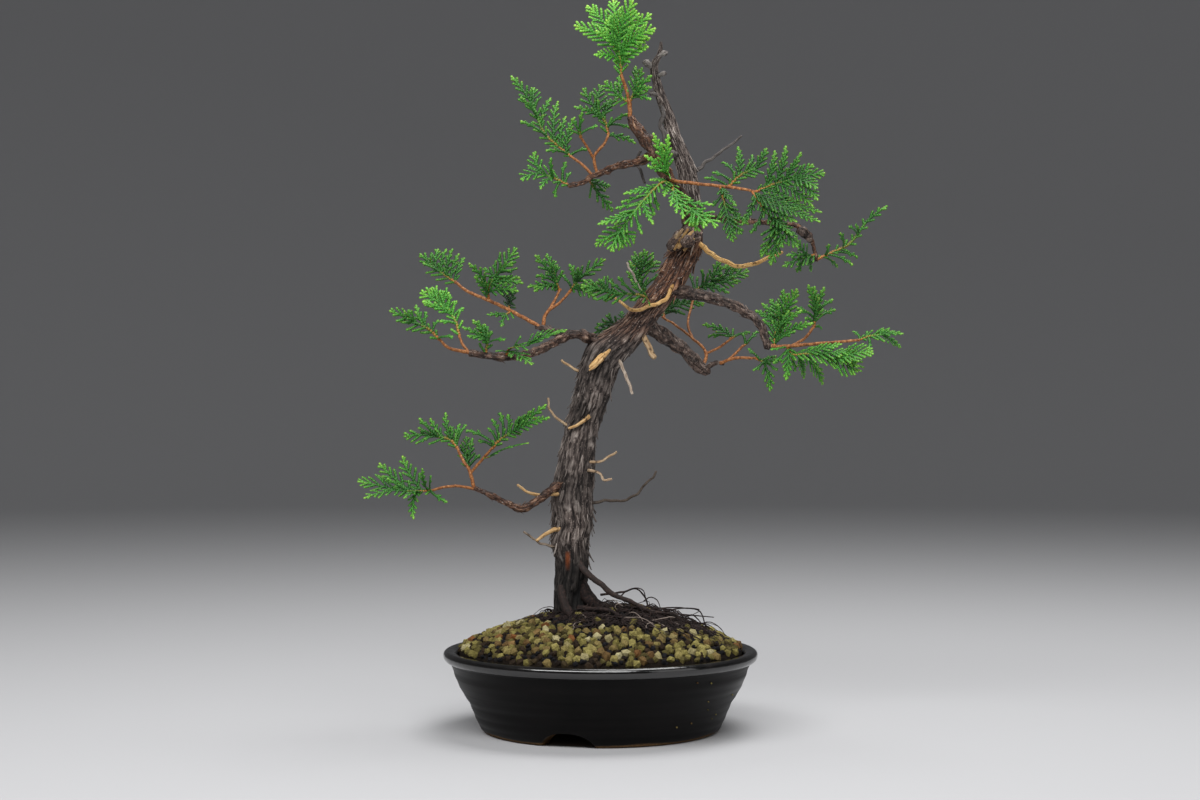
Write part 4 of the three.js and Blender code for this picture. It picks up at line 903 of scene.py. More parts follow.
barkLimbs = {
    "lowLeft": [(-19, 152, -3, 3), (-27, 152, -6, 2.9), (-35, 146.5, -9, 2.8), (-41, 142, -12, 2.7),
                (-50, 138, -15, 2.6), (-60, 142, -18, 2.3), (-69, 146.5, -20, 2),
                (-79, 151, -21, 1.7)],
    "middleLeft": [(0, 241, 0, 4), (-10, 246, -3, 3.3), (-19, 247, -6, 3.1), (-26, 243.5, -8, 3),
                   (-35, 239, -11, 2.9), (-44, 235, -14, 2.8), (-54, 233, -16, 2.8),
                   (-63, 233, -18, 2.7), (-72, 234, -19, 2.5), (-82, 235.5, -20, 2.3)],
    "middleLeftKnob": [(-23, 246, -7, 2.6), (-33, 250, -4, 2.5), (-40, 252.5, -2, 2.3)],
    "leader": [(57, 318, -2, 3.5), (53, 328, -7, 3.2), (46, 340, -10, 3.2), (39, 351, -10, 3.4),
               (34, 362, -10, 4), (28, 370, -10, 3.6), (21.6, 377.5, -10, 2.8),
               (18.5, 383, -10, 2.1)],
    "upperLeft": [(34, 360, -9, 2.8), (25, 355.5, -6, 2.4), (15, 353.5, -3, 2.2), (7, 351, 0, 2),
                  (0, 348, 2, 1.9), (-5, 346, 3, 1.8), (-10, 342.5, 4, 1.6), (-20, 340, 5, 1.2)],
    "farRight": [(58, 322, 0, 3), (72, 320, 8, 2.3), (86, 318.6, 16, 2.4), (100, 317.4, 22, 2),
                 (112, 316, 28, 2), (123, 315, 32, 1.9), (128, 311, 34, 1.8), (132, 306, 35, 1.7),
                 (134, 300, 35, 1.6), (135.5, 293, 35, 1.5)],
    "middleRight": [(44, 277, 0, 4.4), (50, 273.6, -3, 4), (56, 273, -5, 3.8), (65, 270.4, -8, 3.6),
                    (75, 268.6, -11, 3.4), (84, 265, -14, 3.2), (90.5, 261, -16, 3.1),
                    (97, 257, -18, 3), (101, 252, -19, 3), (103, 245, -20, 2.8),
                    (105, 238.5, -20, 2.4)],
    "innerRight": [(26, 257, 0, 5), (34, 250, 1, 4.6), (43.5, 243.5, 3, 4.4), (53, 236, 4, 4.3),
                   (62, 227.5, 4, 4), (67.5, 223.5, 3, 3.4)],
    "innerRightSpur": [(65, 225, 3, 1.9), (71.5, 229, 0, 1.7), (77, 229, -3, 1.4)],
    "knotLeft": [(56, 312, 0, 4.6), (50, 307, -4, 4.8), (45.5, 303, -6, 4), (43, 301, -7, 2.6)],
    "farRightKnob": [(123.5, 312.5, 32, 2.0), (127, 311, 33, 3.4), (130, 308.5, 34, 3.2),
                     (131.5, 305, 34, 1.6)],
    "knotFront": [(59, 310, -2, 3.6), (55, 306, -8, 4), (52.5, 303.5, -10.5, 3)],
}


def makeLimbs():
    parts = []
    for index, (name, rows) in enumerate(barkLimbs.items()):
        places, radii = seenLine(rows, view["depthSpread"])
        swell = bark["limbSwell"].get(name, bark["otherSwell"]) * mm
        line, radii, far = smoothLine(places, np.maximum(radii + swell, bark["thinnest"]),
                                      bark["limbStep"])
        part = limbMesh(line, radii, far, bark["limbSides"], bark["limbDepth"], bark["limbStrip"],
                        bark["limbRun"], index * 5 + 2, bark["limbFlare"], bark["limbKnobs"],
                        bark["limbKnobRun"])
        count = len(part["places"])
        part["rust"] = np.full(count, bark["rust"].get(name, bark["otherRust"]))
        part["bare"] = np.zeros(count)
        part["shag"] = np.full(count, bark["limbShag"])
        part["tint"] = part["tint"] * bark["knotTint" if name.startswith("knot") else "limbTint"]
        parts.append(part)
    return meshFrom("branchBark", parts, oldBark)


def shredShape():
    # a narrow tongue of bark, fixed at its top and curling out at its lower end
    rows = [(0.0, 0.5, -0.02), (-0.35, 1.0, 0.0), (-0.7, 0.7, 0.05), (-1.0, 0.15, 0.14)]
    places = []
    for z, wide, out in rows:
        places += [(-0.5 * wide, out, z), (0.5 * wide, out, z), (0.35 * wide, out + 0.07, z),
                   (-0.35 * wide, out + 0.07, z)]
    faces = ringFaces(len(rows), 4, outward=False) + [(0, 1, 2, 3), (15, 14, 13, 12)]
    return meshFrom("shredShape", [{"places": np.array(places), "faces": faces}], oldBark)


def makeShredTree():
    tree, given = newTree("barkShreds", {
        "Density": "Float", "Length": "Float", "Width": "Float", "Lift": "Float", "Seed": "Int",
        "Shape": "Object", "Material": "Material"})
    seed = given["Seed"]
    spread = addNode(tree, "GeometryNodeDistributePointsOnFaces", {
        "Mesh": given["Geometry"], "Seed": seed,
        "Density": combine(tree, "MULTIPLY", named(tree, "shag"), given["Density"])})
    tip = randomOf(tree, (-0.05, -0.22, -0.3), (0.3, 0.22, 0.3), seed, "FLOAT_VECTOR")
    bent = scaled(tree, tip, given["Lift"])
    full = joinAxes(tree, given["Width"], given["Length"], given["Length"])
    size = scaled(tree, full, randomOf(tree, 0.5, 1.35, seed))
    placed = standOn(tree, spread.outputs["Points"], given["Shape"], "way", "out", "Y", bent, size)
    endTree(tree, placed, ("way", "out"))
    return tree


def shredsOn(name, carrier, density, length, width, lift, seed):
    piece = placePiece(name, carrier.data.copy())
    relief = 0.62 + 0.3 * chance(np.arange(len(piece.data.vertices)), 4)
    piece.data.attributes["relief"].data.foreach_set("value", relief)
    return grow(piece, shredTree, {
        "Density": density, "Length": length * mm, "Width": width * mm, "Lift": lift, "Seed": seed,
        "Shape": shred, "Material": oldBark})


trunk = makeTrunk()
branches = makeLimbs()
shredTree = makeShredTree()
shred = shredShape()
trunkShreds = shredsOn("trunkShreds", trunk, 46000.0, 6, 1.0, 0.75, 3)
branchShreds = shredsOn("branchShreds", branches, 50000.0, 2.6, 1.1, 1.2, 8)
bpy.data.objects.remove(shred)
for piece in (trunk, branches, trunkShreds, branchShreds):
    setPiece(piece, "bark", "trunk_and_branches")
print("trunk and branches made")

# Bare stubs and dead twigs
deadLimbs = {
    "longCurvedStub": [(57, 306, -2, 2.4), (63.5, 303, -6, 1.9), (68.5, 298, -9, 1.7),
                       (75, 294, -11, 1.6), (84, 290.5, -13, 1.5), (91, 290, -14, 1.5),
                       (98, 292, -14, 1.4), (106, 295.5, -13, 1.3), (114, 298.5, -12, 1)],
    "stubAcrossTrunk": [(45, 280, -5, 1.8), (43, 272, -9, 1.7), (37, 267, -10.5, 1.7),
                        (30, 264.5, -10.5, 1.6), (21.5, 262, -10.5, 1.5), (15, 265, -11, 1.3),
                        (11, 268.5, -10, 1.1), (7, 272, -9, 0.9)],
    "cutStubLeft": [(42.5, 299.5, -8.5, 0.9), (45.5, 304.5, -10.6, 1.5), (49, 309.5, -10.4, 1.4),
                    (51.5, 313, -8, 0.8)],
    "cutStubFront": [(48.5, 301, -13, 0.9), (51.5, 304.5, -14.4, 1.5), (55, 308.5, -12.8, 1.4),
                     (58, 311.5, -10, 0.8)],
    "cutStubLow": [(6, 237.5, -11, 0.8), (2, 234, -12.6, 1.6), (-3, 229.5, -13.6, 2.0),
                   (-6.5, 226, -13.6, 1.3)],
    "stubUnder": [(24, 252, -2, 2.2), (30, 240, -4, 1.9), (33.5, 232, -5, 1.7)],
    "whiteStub": [(8, 240, -4, 1.6), (12.5, 229, -7, 1.3), (16.5, 220, -7, 1.2),
                  (20, 210, -8, 0.9)],
    "twigOverTrunk": [(30, 264, -5, 1), (24, 277, -4, 0.8), (16.5, 292, -4, 0.7)],
    "leftTwig": [(-8, 222, -1, 1), (-19, 227, -2, 0.8), (-24, 231, -2, 0.7)],
    "leftHook": [(-14, 187, -3, 1.1), (-26.5, 194, -4, 0.8), (-32, 201, -4, 0.7),
                 (-33, 207, -4, 0.7)],
    "frontStub": [(-7, 196, -8, 1.3), (-10, 193, -12.5, 1.1), (-20, 188, -12, 0.8)],
    "rightFork": [(-8, 167, -8, 0.9), (1, 168, -9, 0.8), (10, 174, -9, 0.7)],
    "rightHook": [(-8, 162, -9, 1), (0, 160, -11, 0.8), (2, 156, -11, 0.8), (7, 156.5, -11, 0.7)],
    "longDarkTwig": [(-9, 142, -4, 1.1), (9, 143, -6, 0.8), (22, 146.5, -8, 0.8),
                     (29, 154, -9, 0.7), (35, 161, -9, 0.7)],
    "forkedLeft": [(-20, 148, -7, 1.5), (-35, 146.5, -12, 1.1), (-45, 148, -14, 0.9),
                   (-52, 153, -15, 0.7)],
    "lowLeftStub": [(-22, 126, -7, 1.8), (-31, 124, -9, 1.3), (-40, 118, -10, 1)],
    "lowLeftTwig": [(-24, 113, -5, 1.1), (-38, 116.5, -9, 0.7), (-48.5, 124.5, -11, 0.7)],
    "upperRightTwig": [(56, 347, 0, 1.4), (70, 357.5, 1, 1), (88.5, 371, 4, 0.7)],
    "crownKnobLeft": [(34, 413, 4, 1.2), (31.5, 415.3, 4, 1.7), (29, 417, 4, 2.7),
                      (27, 417.8, 3.5, 1.2)],
    "crownKnobRight": [(36, 421, 4, 1.1), (38.5, 422.5, 4, 1.5), (40.3, 423.4, 4, 2.1),
                       (41.8, 423.8, 4, 0.9)],
    "stubSplinter": [(5, 236, -12, 0.5), (1, 231.5, -14, 1.1), (-4, 227, -15, 1.0),
                     (-7, 224.5, -15, 0.4)],
    "knotStub": [(46, 300, -11.6, 0.8), (49.5, 305, -13.4, 1.1), (53, 310, -12.4, 1.0),
                 (55, 313, -10.5, 0.7)],
    "knotChip": [(52, 299.5, -13.4, 0.8), (55.5, 303.5, -13.6, 1.2), (58.5, 307.5, -11.6, 0.8)],
    "leaderKnobLow": [(48, 360, 0, 1.4), (46, 360.5, -3, 2.2), (45, 361, -6, 1.6),
                      (44.8, 361, -7, 0.7)],
    "leaderKnobMiddle": [(36, 397, 3, 1.2), (33.5, 397.5, 1, 1.5), (31.8, 398, 0, 2.0),
                         (30.4, 398, 0, 0.8)],
    "leaderKnobHigh": [(36, 409, 3, 1.1), (38.3, 409.8, 2, 1.4), (40, 410.5, 2, 1.8),
                       (41.4, 410.5, 2, 0.7)],
    "thinDeadStem": [(38, 390, 1, 1.2), (39.5, 384, -4, 1.6), (37.5, 378, -6, 1.3),
                     (40.5, 372, -7, 1.8), (40, 366, -7, 1.3), (43, 359, -5, 1.7)],
    "hangingDeadStem": [(25, 362, 4, 1.0), (22.5, 355, 3, 0.9), (25, 350, 2, 1.0),
                        (27.5, 342, 2, 0.8)],
}

# How grey and how dark each of them is, from 0 to 1, how far it strays from its line in
# millimetres, and how much of its girth is left
deadLooks = {
    "longCurvedStub": (0, 0, 0.7, 0.88), "stubAcrossTrunk": (0.05, 0, 0.7, 0.72),
    "whiteStub": (0.8, 0, 0.7, 0.9), "longDarkTwig": (0.6, 0.9, 1.5, 1),
    "upperRightTwig": (1, 0.75, 1.1, 1), "crownKnobLeft": (1, 0.45, 0.7, 1),
    "crownKnobRight": (1, 0.3, 0.7, 1), "stubUnder": (0.4, 0.2, 0.7, 1),
    "twigOverTrunk": (0.9, 0.1, 0.7, 1), "cutStubLeft": (0.5, 0, 0.7, 1),
    "cutStubFront": (0.2, 0.1, 0.7, 1), "knotStub": (0, 0.4, 0.7, 1),
    "knotChip": (0.1, 0.45, 0.7, 1), "leftHook": (0.5, 0.15, 0.7, 1),
    "leaderKnobLow": (1, 0.6, 0.7, 1), "leaderKnobMiddle": (1, 0.5, 0.7, 1),
    "leaderKnobHigh": (1, 0.4, 0.7, 1), "thinDeadStem": (1, 0.8, 0.7, 1),
    "hangingDeadStem": (1, 0.8, 0.7, 1), "cutStubLow": (0.1, 0, 0.7, 1),
    "rightFork": (0.5, 0.2, 0.7, 1), "rightHook": (0.6, 0.1, 0.7, 1),
    "leftTwig": (0.4, 0.1, 0.7, 1), "lowLeftTwig": (0.7, 0.5, 1.3, 1),
    "others": (0.2, 0, 0.7, 1),
}
stub = {"step": 0.9 * mm, "sides": 18, "relief": 0.32, "leastRelief": 0.35}


def plainLimb(rows, deeper, girth, step, sides, depth, seed, crook, **values):
    # crook is how far the line strays from side to side
    line, radii, far = smoothLine(*seenLine(rows, deeper, girth), step)
    for k in range(3):
        stray = noiseOf(np.column_stack([far / (5 * mm), np.full(len(far), seed),
                                         np.full(len(far), k * 7.3)]))
        line[:, k] += crook * stray * np.minimum(1, far / (4 * mm))
    part = limbMesh(line, radii, far, sides, depth, 1.6 * mm, 5 * mm, seed)
    for key, value in values.items():
        part[key] = np.full(len(part["places"]), float(value))
    for key in ("way", "out"):
        del part[key]
    return part


dead = []
for index, (name, rows) in enumerate(deadLimbs.items()):
    grey, dark, crook, girth = deadLooks.get(name, deadLooks["others"])
    relief = max(stub["leastRelief"], stub["relief"] * rows[0][3]) * mm
    dead.append(plainLimb(rows, 1.0, girth, stub["step"], stub["sides"], relief, index, crook * mm,
                          bleach=grey, dark=dark))
setPiece(meshFrom("deadStubs", dead, deadWood), "bark", "trunk_and_branches")

# Young orange-brown twigs
twigs = {
    "twig_low_left": [
        [(-76, 149.8, -20.7, 1.1), (-91, 152, -22, 1), (-100.5, 151, -23, 0.95),
         (-107, 149, -24, 0.9)],
        [(-79, 151, -21, 1.4), (-82, 161.5, -20, 1.2), (-87, 170, -18, 1), (-90, 177, -17, 0.9)],
        [(-81.5, 160, -20, 1.1), (-76.5, 166, -21, 1), (-67, 176.5, -24, 0.9)],
    ],
    "twig_middle_left_long": [
        [(-37, 251.5, -3, 1.5), (-50, 258.5, 0, 1.4), (-66, 266.7, 8, 1.3), (-85, 275, 15, 1.1),
         (-91, 280.4, 17, 1)],
    ],
    "twig_middle_left_forked": [
        [(-36, 250, -3, 1.5), (-34.7, 259, 0, 1.3), (-31.6, 263, 2, 1.2), (-25, 275.4, 10, 0.9)],
        [(-32.5, 262, 1.5, 1.1), (-25.5, 267, 4, 1), (-19, 274, 8, 0.9)],
    ],
    "twig_middle_left_end": [
        [(-79, 235, -19.6, 1.4), (-95.5, 239, -22, 1.1), (-101.7, 245, -23, 0.9)],
        [(-82, 235.7, -20, 1.2), (-86, 240.4, -18, 1), (-88.6, 246.6, -16, 0.9)],
    ],
    "twig_crown": [
        [(18.8, 381, -10, 1.6), (17.8, 393.8, -10, 1.5), (15.3, 403, -11, 1.2),
         (12.8, 409.4, -12, 1)],
    ],
    "twig_upper_left_upright": [
        [(-2, 348, 2, 1.2), (-4, 358, 2, 1.1), (2.8, 366.8, 3, 1), (5.3, 373, 4, 0.9)],
        [(-4, 357, 2, 1), (-12.8, 371.2, -2, 0.85)],
    ],
    "twig_upper_left_outer": [
        [(-5, 347, 3, 1.1), (-12.8, 354.3, 4, 1), (-19, 358.7, 6, 0.9)],
    ],
    "twig_upper_right": [
        [(43, 344, -11, 1.4), (51.6, 342.4, -16, 1.2), (68.5, 340.5, -18, 1.1),
         (81, 339.3, -20, 1.1), (98, 336.2, -23, 0.9)],
    ],
    "twig_middle_right": [
        [(104.5, 240, -20, 1.6), (112.4, 239.4, -21, 1.4), (125, 240.4, -23, 1.2),
         (150, 242.3, -27, 1), (162.4, 243.5, -29, 0.9)],
        [(120, 240, -22, 1.1), (128, 244.8, -20, 1), (134.3, 252.9, -18, 0.9)],
    ],
    "twig_inner_right_low": [
        [(75, 229, -2.5, 1.2), (84.2, 232.2, -6, 1.1), (98, 232.2, -9, 0.9)],
        [(80, 231, -4.5, 1), (89.8, 240.4, -2, 0.85)],
    ],
    "twig_inner_right_back": [
        [(64, 226, 4, 1.4), (66, 236, 8, 1.1), (57, 245, 13, 1), (46.6, 253, 20, 0.9),
         (38.5, 258, 24, 0.8)],
        [(58, 244, 12.5, 1), (54.8, 253, 20, 0.95), (57.9, 268.6, 30, 0.85)],
        [(65.8, 235, 7.5, 1), (74.8, 239.1, 8, 0.9), (82.3, 244.8, 8, 0.8)],
    ],
}

twig = {"girth": 0.86, "step": 0.8 * mm, "sides": 12, "relief": 0.4 * mm, "crook": 0.3 * mm,
        "seed": 40}
for seed, (name, lines) in enumerate(twigs.items(), twig["seed"]):
    parts = [plainLimb(rows, view["depthSpread"], twig["girth"], twig["step"], twig["sides"],
                       twig["relief"], seed + j, twig["crook"], dark=0.0)
             for j, rows in enumerate(lines)]
    setPiece(meshFrom(name.title().replace("_", ""), parts, youngBark), "young_bark", name)
print("stubs and twigs made")

# Roots over the soil
rootLimbs = {
    "leftStrand": [(-24.5, 92, -5, 1.6), (-24, 84, -8.5, 2.6), (-21.5, 76, -11.5, 3.0),
                   (-16, 68, -13, 2.8), (-11, 61, -13, 2.2)],
    "mainRoot": [(-15, 106, -6, 2.8), (-10, 99.5, -10, 2.6), (-5, 94.5, -12, 2.4),
                 (0, 91, -13, 2.3), (8.5, 84, -14, 2), (18.5, 80, -14, 1.8), (25, 76.5, -13, 1.6),
                 (35, 73, -12, 1.5), (46, 72, -10, 1.3), (52, 67, -9, 1.1)],
    "rightFlare": [(-14, 92, 0, 6), (-6, 80, 0, 6), (6, 72, 2, 4.5), (20, 66, 6, 3)],
    "backFlare": [(-17, 92, 3, 6), (-20, 80, 10, 6), (-26, 70, 20, 4), (-32, 60, 30, 2.5)],
    "archedRoot": [(0, 84, 0, 1.6), (15, 86, 2, 1.2), (22, 88, 4, 1), (28, 82, 7, 1),
                   (31, 70, 9, 1)],
    "frontRoot": [(-14, 76, -8, 2.2), (-4, 75, -16, 1.6), (6, 74, -22, 1.4), (16, 68, -27, 1.2)],
    "looseRoot": [(24, 77, -13, 1.2), (37, 76, -8, 1), (52, 76, -3, 0.9), (62, 74, 1, 0.9),
                  (66, 64, 3, 0.9)],
}

# Finer roots that show by themselves
fineRoots = [
    [(12, 82, -10, 0.6), (15.3, 85.8, -9, 0.5), (21.6, 88.3, -9, 0.5), (26.6, 87, -8, 0.5),
     (28.5, 80.8, -7, 0.4)],
    [(27, 80, -11, 0.5), (31, 82.6, -11, 0.45), (35.4, 80.8, -10, 0.4), (38, 74, -9, 0.4)],
    [(35, 72, -12, 0.6), (46, 75, -12, 0.5), (56, 75.7, -11, 0.5), (62.3, 74.5, -9, 0.4),
     (56, 70.7, -14, 0.4)],
    [(40, 75, -14, 0.5), (46.6, 74.5, -15, 0.5), (51.6, 70.1, -17, 0.4)],
    [(48, 72, -8, 0.6), (60, 71, -6, 0.5), (71, 70, -2, 0.4)],
    [(-9.7, 67, -24, 0.7), (-2, 70.5, -25, 0.7), (5.9, 73.2, -20, 0.6)],
]
rootMass = {
    "count": 800,
    "step": 2.4,
    "least": 4,  # steps of the shortest and of the longest
    "most": 13,
    "reach": 0.86,  # of the mat
    "edge": 6,  # they stop this far from the soil's edge
    "onMat": 1.5,  # how high they lie on the crumbs and on the granules
    "onGranules": 2.9,
    "palest": 0.7,
    "paleShare": 0.025,
    "sides": 4,
    "seed": 21,
}


def strayRoot(index):
    # a fine root that wanders over the mound, most of them outwards and to the right
    pick = lambda k: float(chance(index * 1.7 + k, rootMass["seed"]))
    away, turn = pick(1) ** 0.6, 2 * math.pi * pick(2)
    x = soil["matMiddle"][0] + soil["matReach"][0] * rootMass["reach"] * away * math.cos(turn)
    y = soil["matMiddle"][1] + soil["matReach"][1] * rootMass["reach"] * away * math.sin(turn)
    heading = turn + 2.6 * (pick(3) - 0.5)
    rise = 0.3 + 5 * pick(4) ** 4
    count = int(rootMass["least"] + (rootMass["most"] - rootMass["least"]) * pick(5))
    rows = []
    higher = rootMass["onGranules"] - rootMass["onMat"]
    for i in range(count):
        height = float(moundHeight(x, y)) + rise * math.sin(math.pi * i / (count - 1))
        height += rootMass["onMat"] + higher * (1 - onMat(x, y))
        rows.append((potX + x * mm, potY + y * mm, height * mm))
        heading += 1.1 * (float(chance(index + 13 * i, 5)) - 0.5)
        x += rootMass["step"] * math.cos(heading)
        y += rootMass["step"] * math.sin(heading)
        if math.hypot(x, y) > soil["radius"] - rootMass["edge"]:
            break
    return np.array(rows), 0.22 + 0.4 * pick(6) ** 2


def makeRootTree():
    tree, given = newTree("fibrousRoots",
                          {"Sides": "Int", "Thickness": "Float", "Material": "Material"})
    curve = addNode(tree, "GeometryNodeMeshToCurve", {"Mesh": given["Geometry"]})
    ring = addNode(tree, "GeometryNodeCurvePrimitiveCircle",
                   {"Resolution": given["Sides"], "Radius": 1.0})
    tube = addNode(tree, "GeometryNodeCurveToMesh", {
        "Curve": curve.outputs[0], "Profile Curve": ring.outputs[0], "Fill Caps": True,
        "Scale": combine(tree, "MULTIPLY", named(tree, "thick"), given["Thickness"])})
    endTree(tree, tube.outputs[0], ("thick",))
    return tree


def makeRootMass():
    places, edges, thick, pale = [], [], [], []
    strands = [strayRoot(i) for i in range(rootMass["count"])]
    for rows in fineRoots:
        line, radii, far = smoothLine(*seenLine(rows), 2 * mm)
        strands.append((line, float(radii.mean()) / mm))
    for index, (line, radius) in enumerate(strands):
        edges += [(len(places) + i, len(places) + i + 1) for i in range(len(line) - 1)]
        places += line.tolist()
        thick += [radius * (1 - 0.5 * i / len(line)) for i in range(len(line))]
        isPale = float(chance(index, 9)) > 1 - rootMass["paleShare"]
        pale += [rootMass["palest"] * isPale] * len(line)
    mesh = bpy.data.meshes.new("fibrousRoots")
    mesh.from_pydata(places, edges, [])
    writePoints(mesh, {"thick": thick, "pale": pale})
    return grow(placePiece("fibrousRoots", mesh), makeRootTree(),
                {"Sides": rootMass["sides"], "Thickness": mm, "Material": rootSkin})


surfaceRoot = {"step": 1.0 * mm, "sides": 18, "relief": 0.35 * mm, "crook": 0.4 * mm, "seed": 70}
# How pale they are, and the share of their girth that is left
rootLooks = {"leftStrand": (0.02, 1.0), "mainRoot": (0.04, 0.78), "looseRoot": (0.0, 0.45),
             "archedRoot": (0.0, 0.5), "frontRoot": (0.0, 0.75), "rightFlare": (0.0, 0.75),
             "backFlare": (0.0, 1.0)}
thickRoots = []
for seed, (name, rows) in enumerate(rootLimbs.items(), surfaceRoot["seed"]):
    pale, girth = rootLooks[name]
    thickRoots.append(plainLimb(rows, 1.0, girth, surfaceRoot["step"], surfaceRoot["sides"],
                                surfaceRoot["relief"], seed, surfaceRoot["crook"], pale=pale))
setPiece(meshFrom("surfaceRoots", thickRoots, rootSkin), "bark", "trunk_and_branches")
setPiece(makeRootMass(), "bark", "trunk_and_branches")
print("roots made")
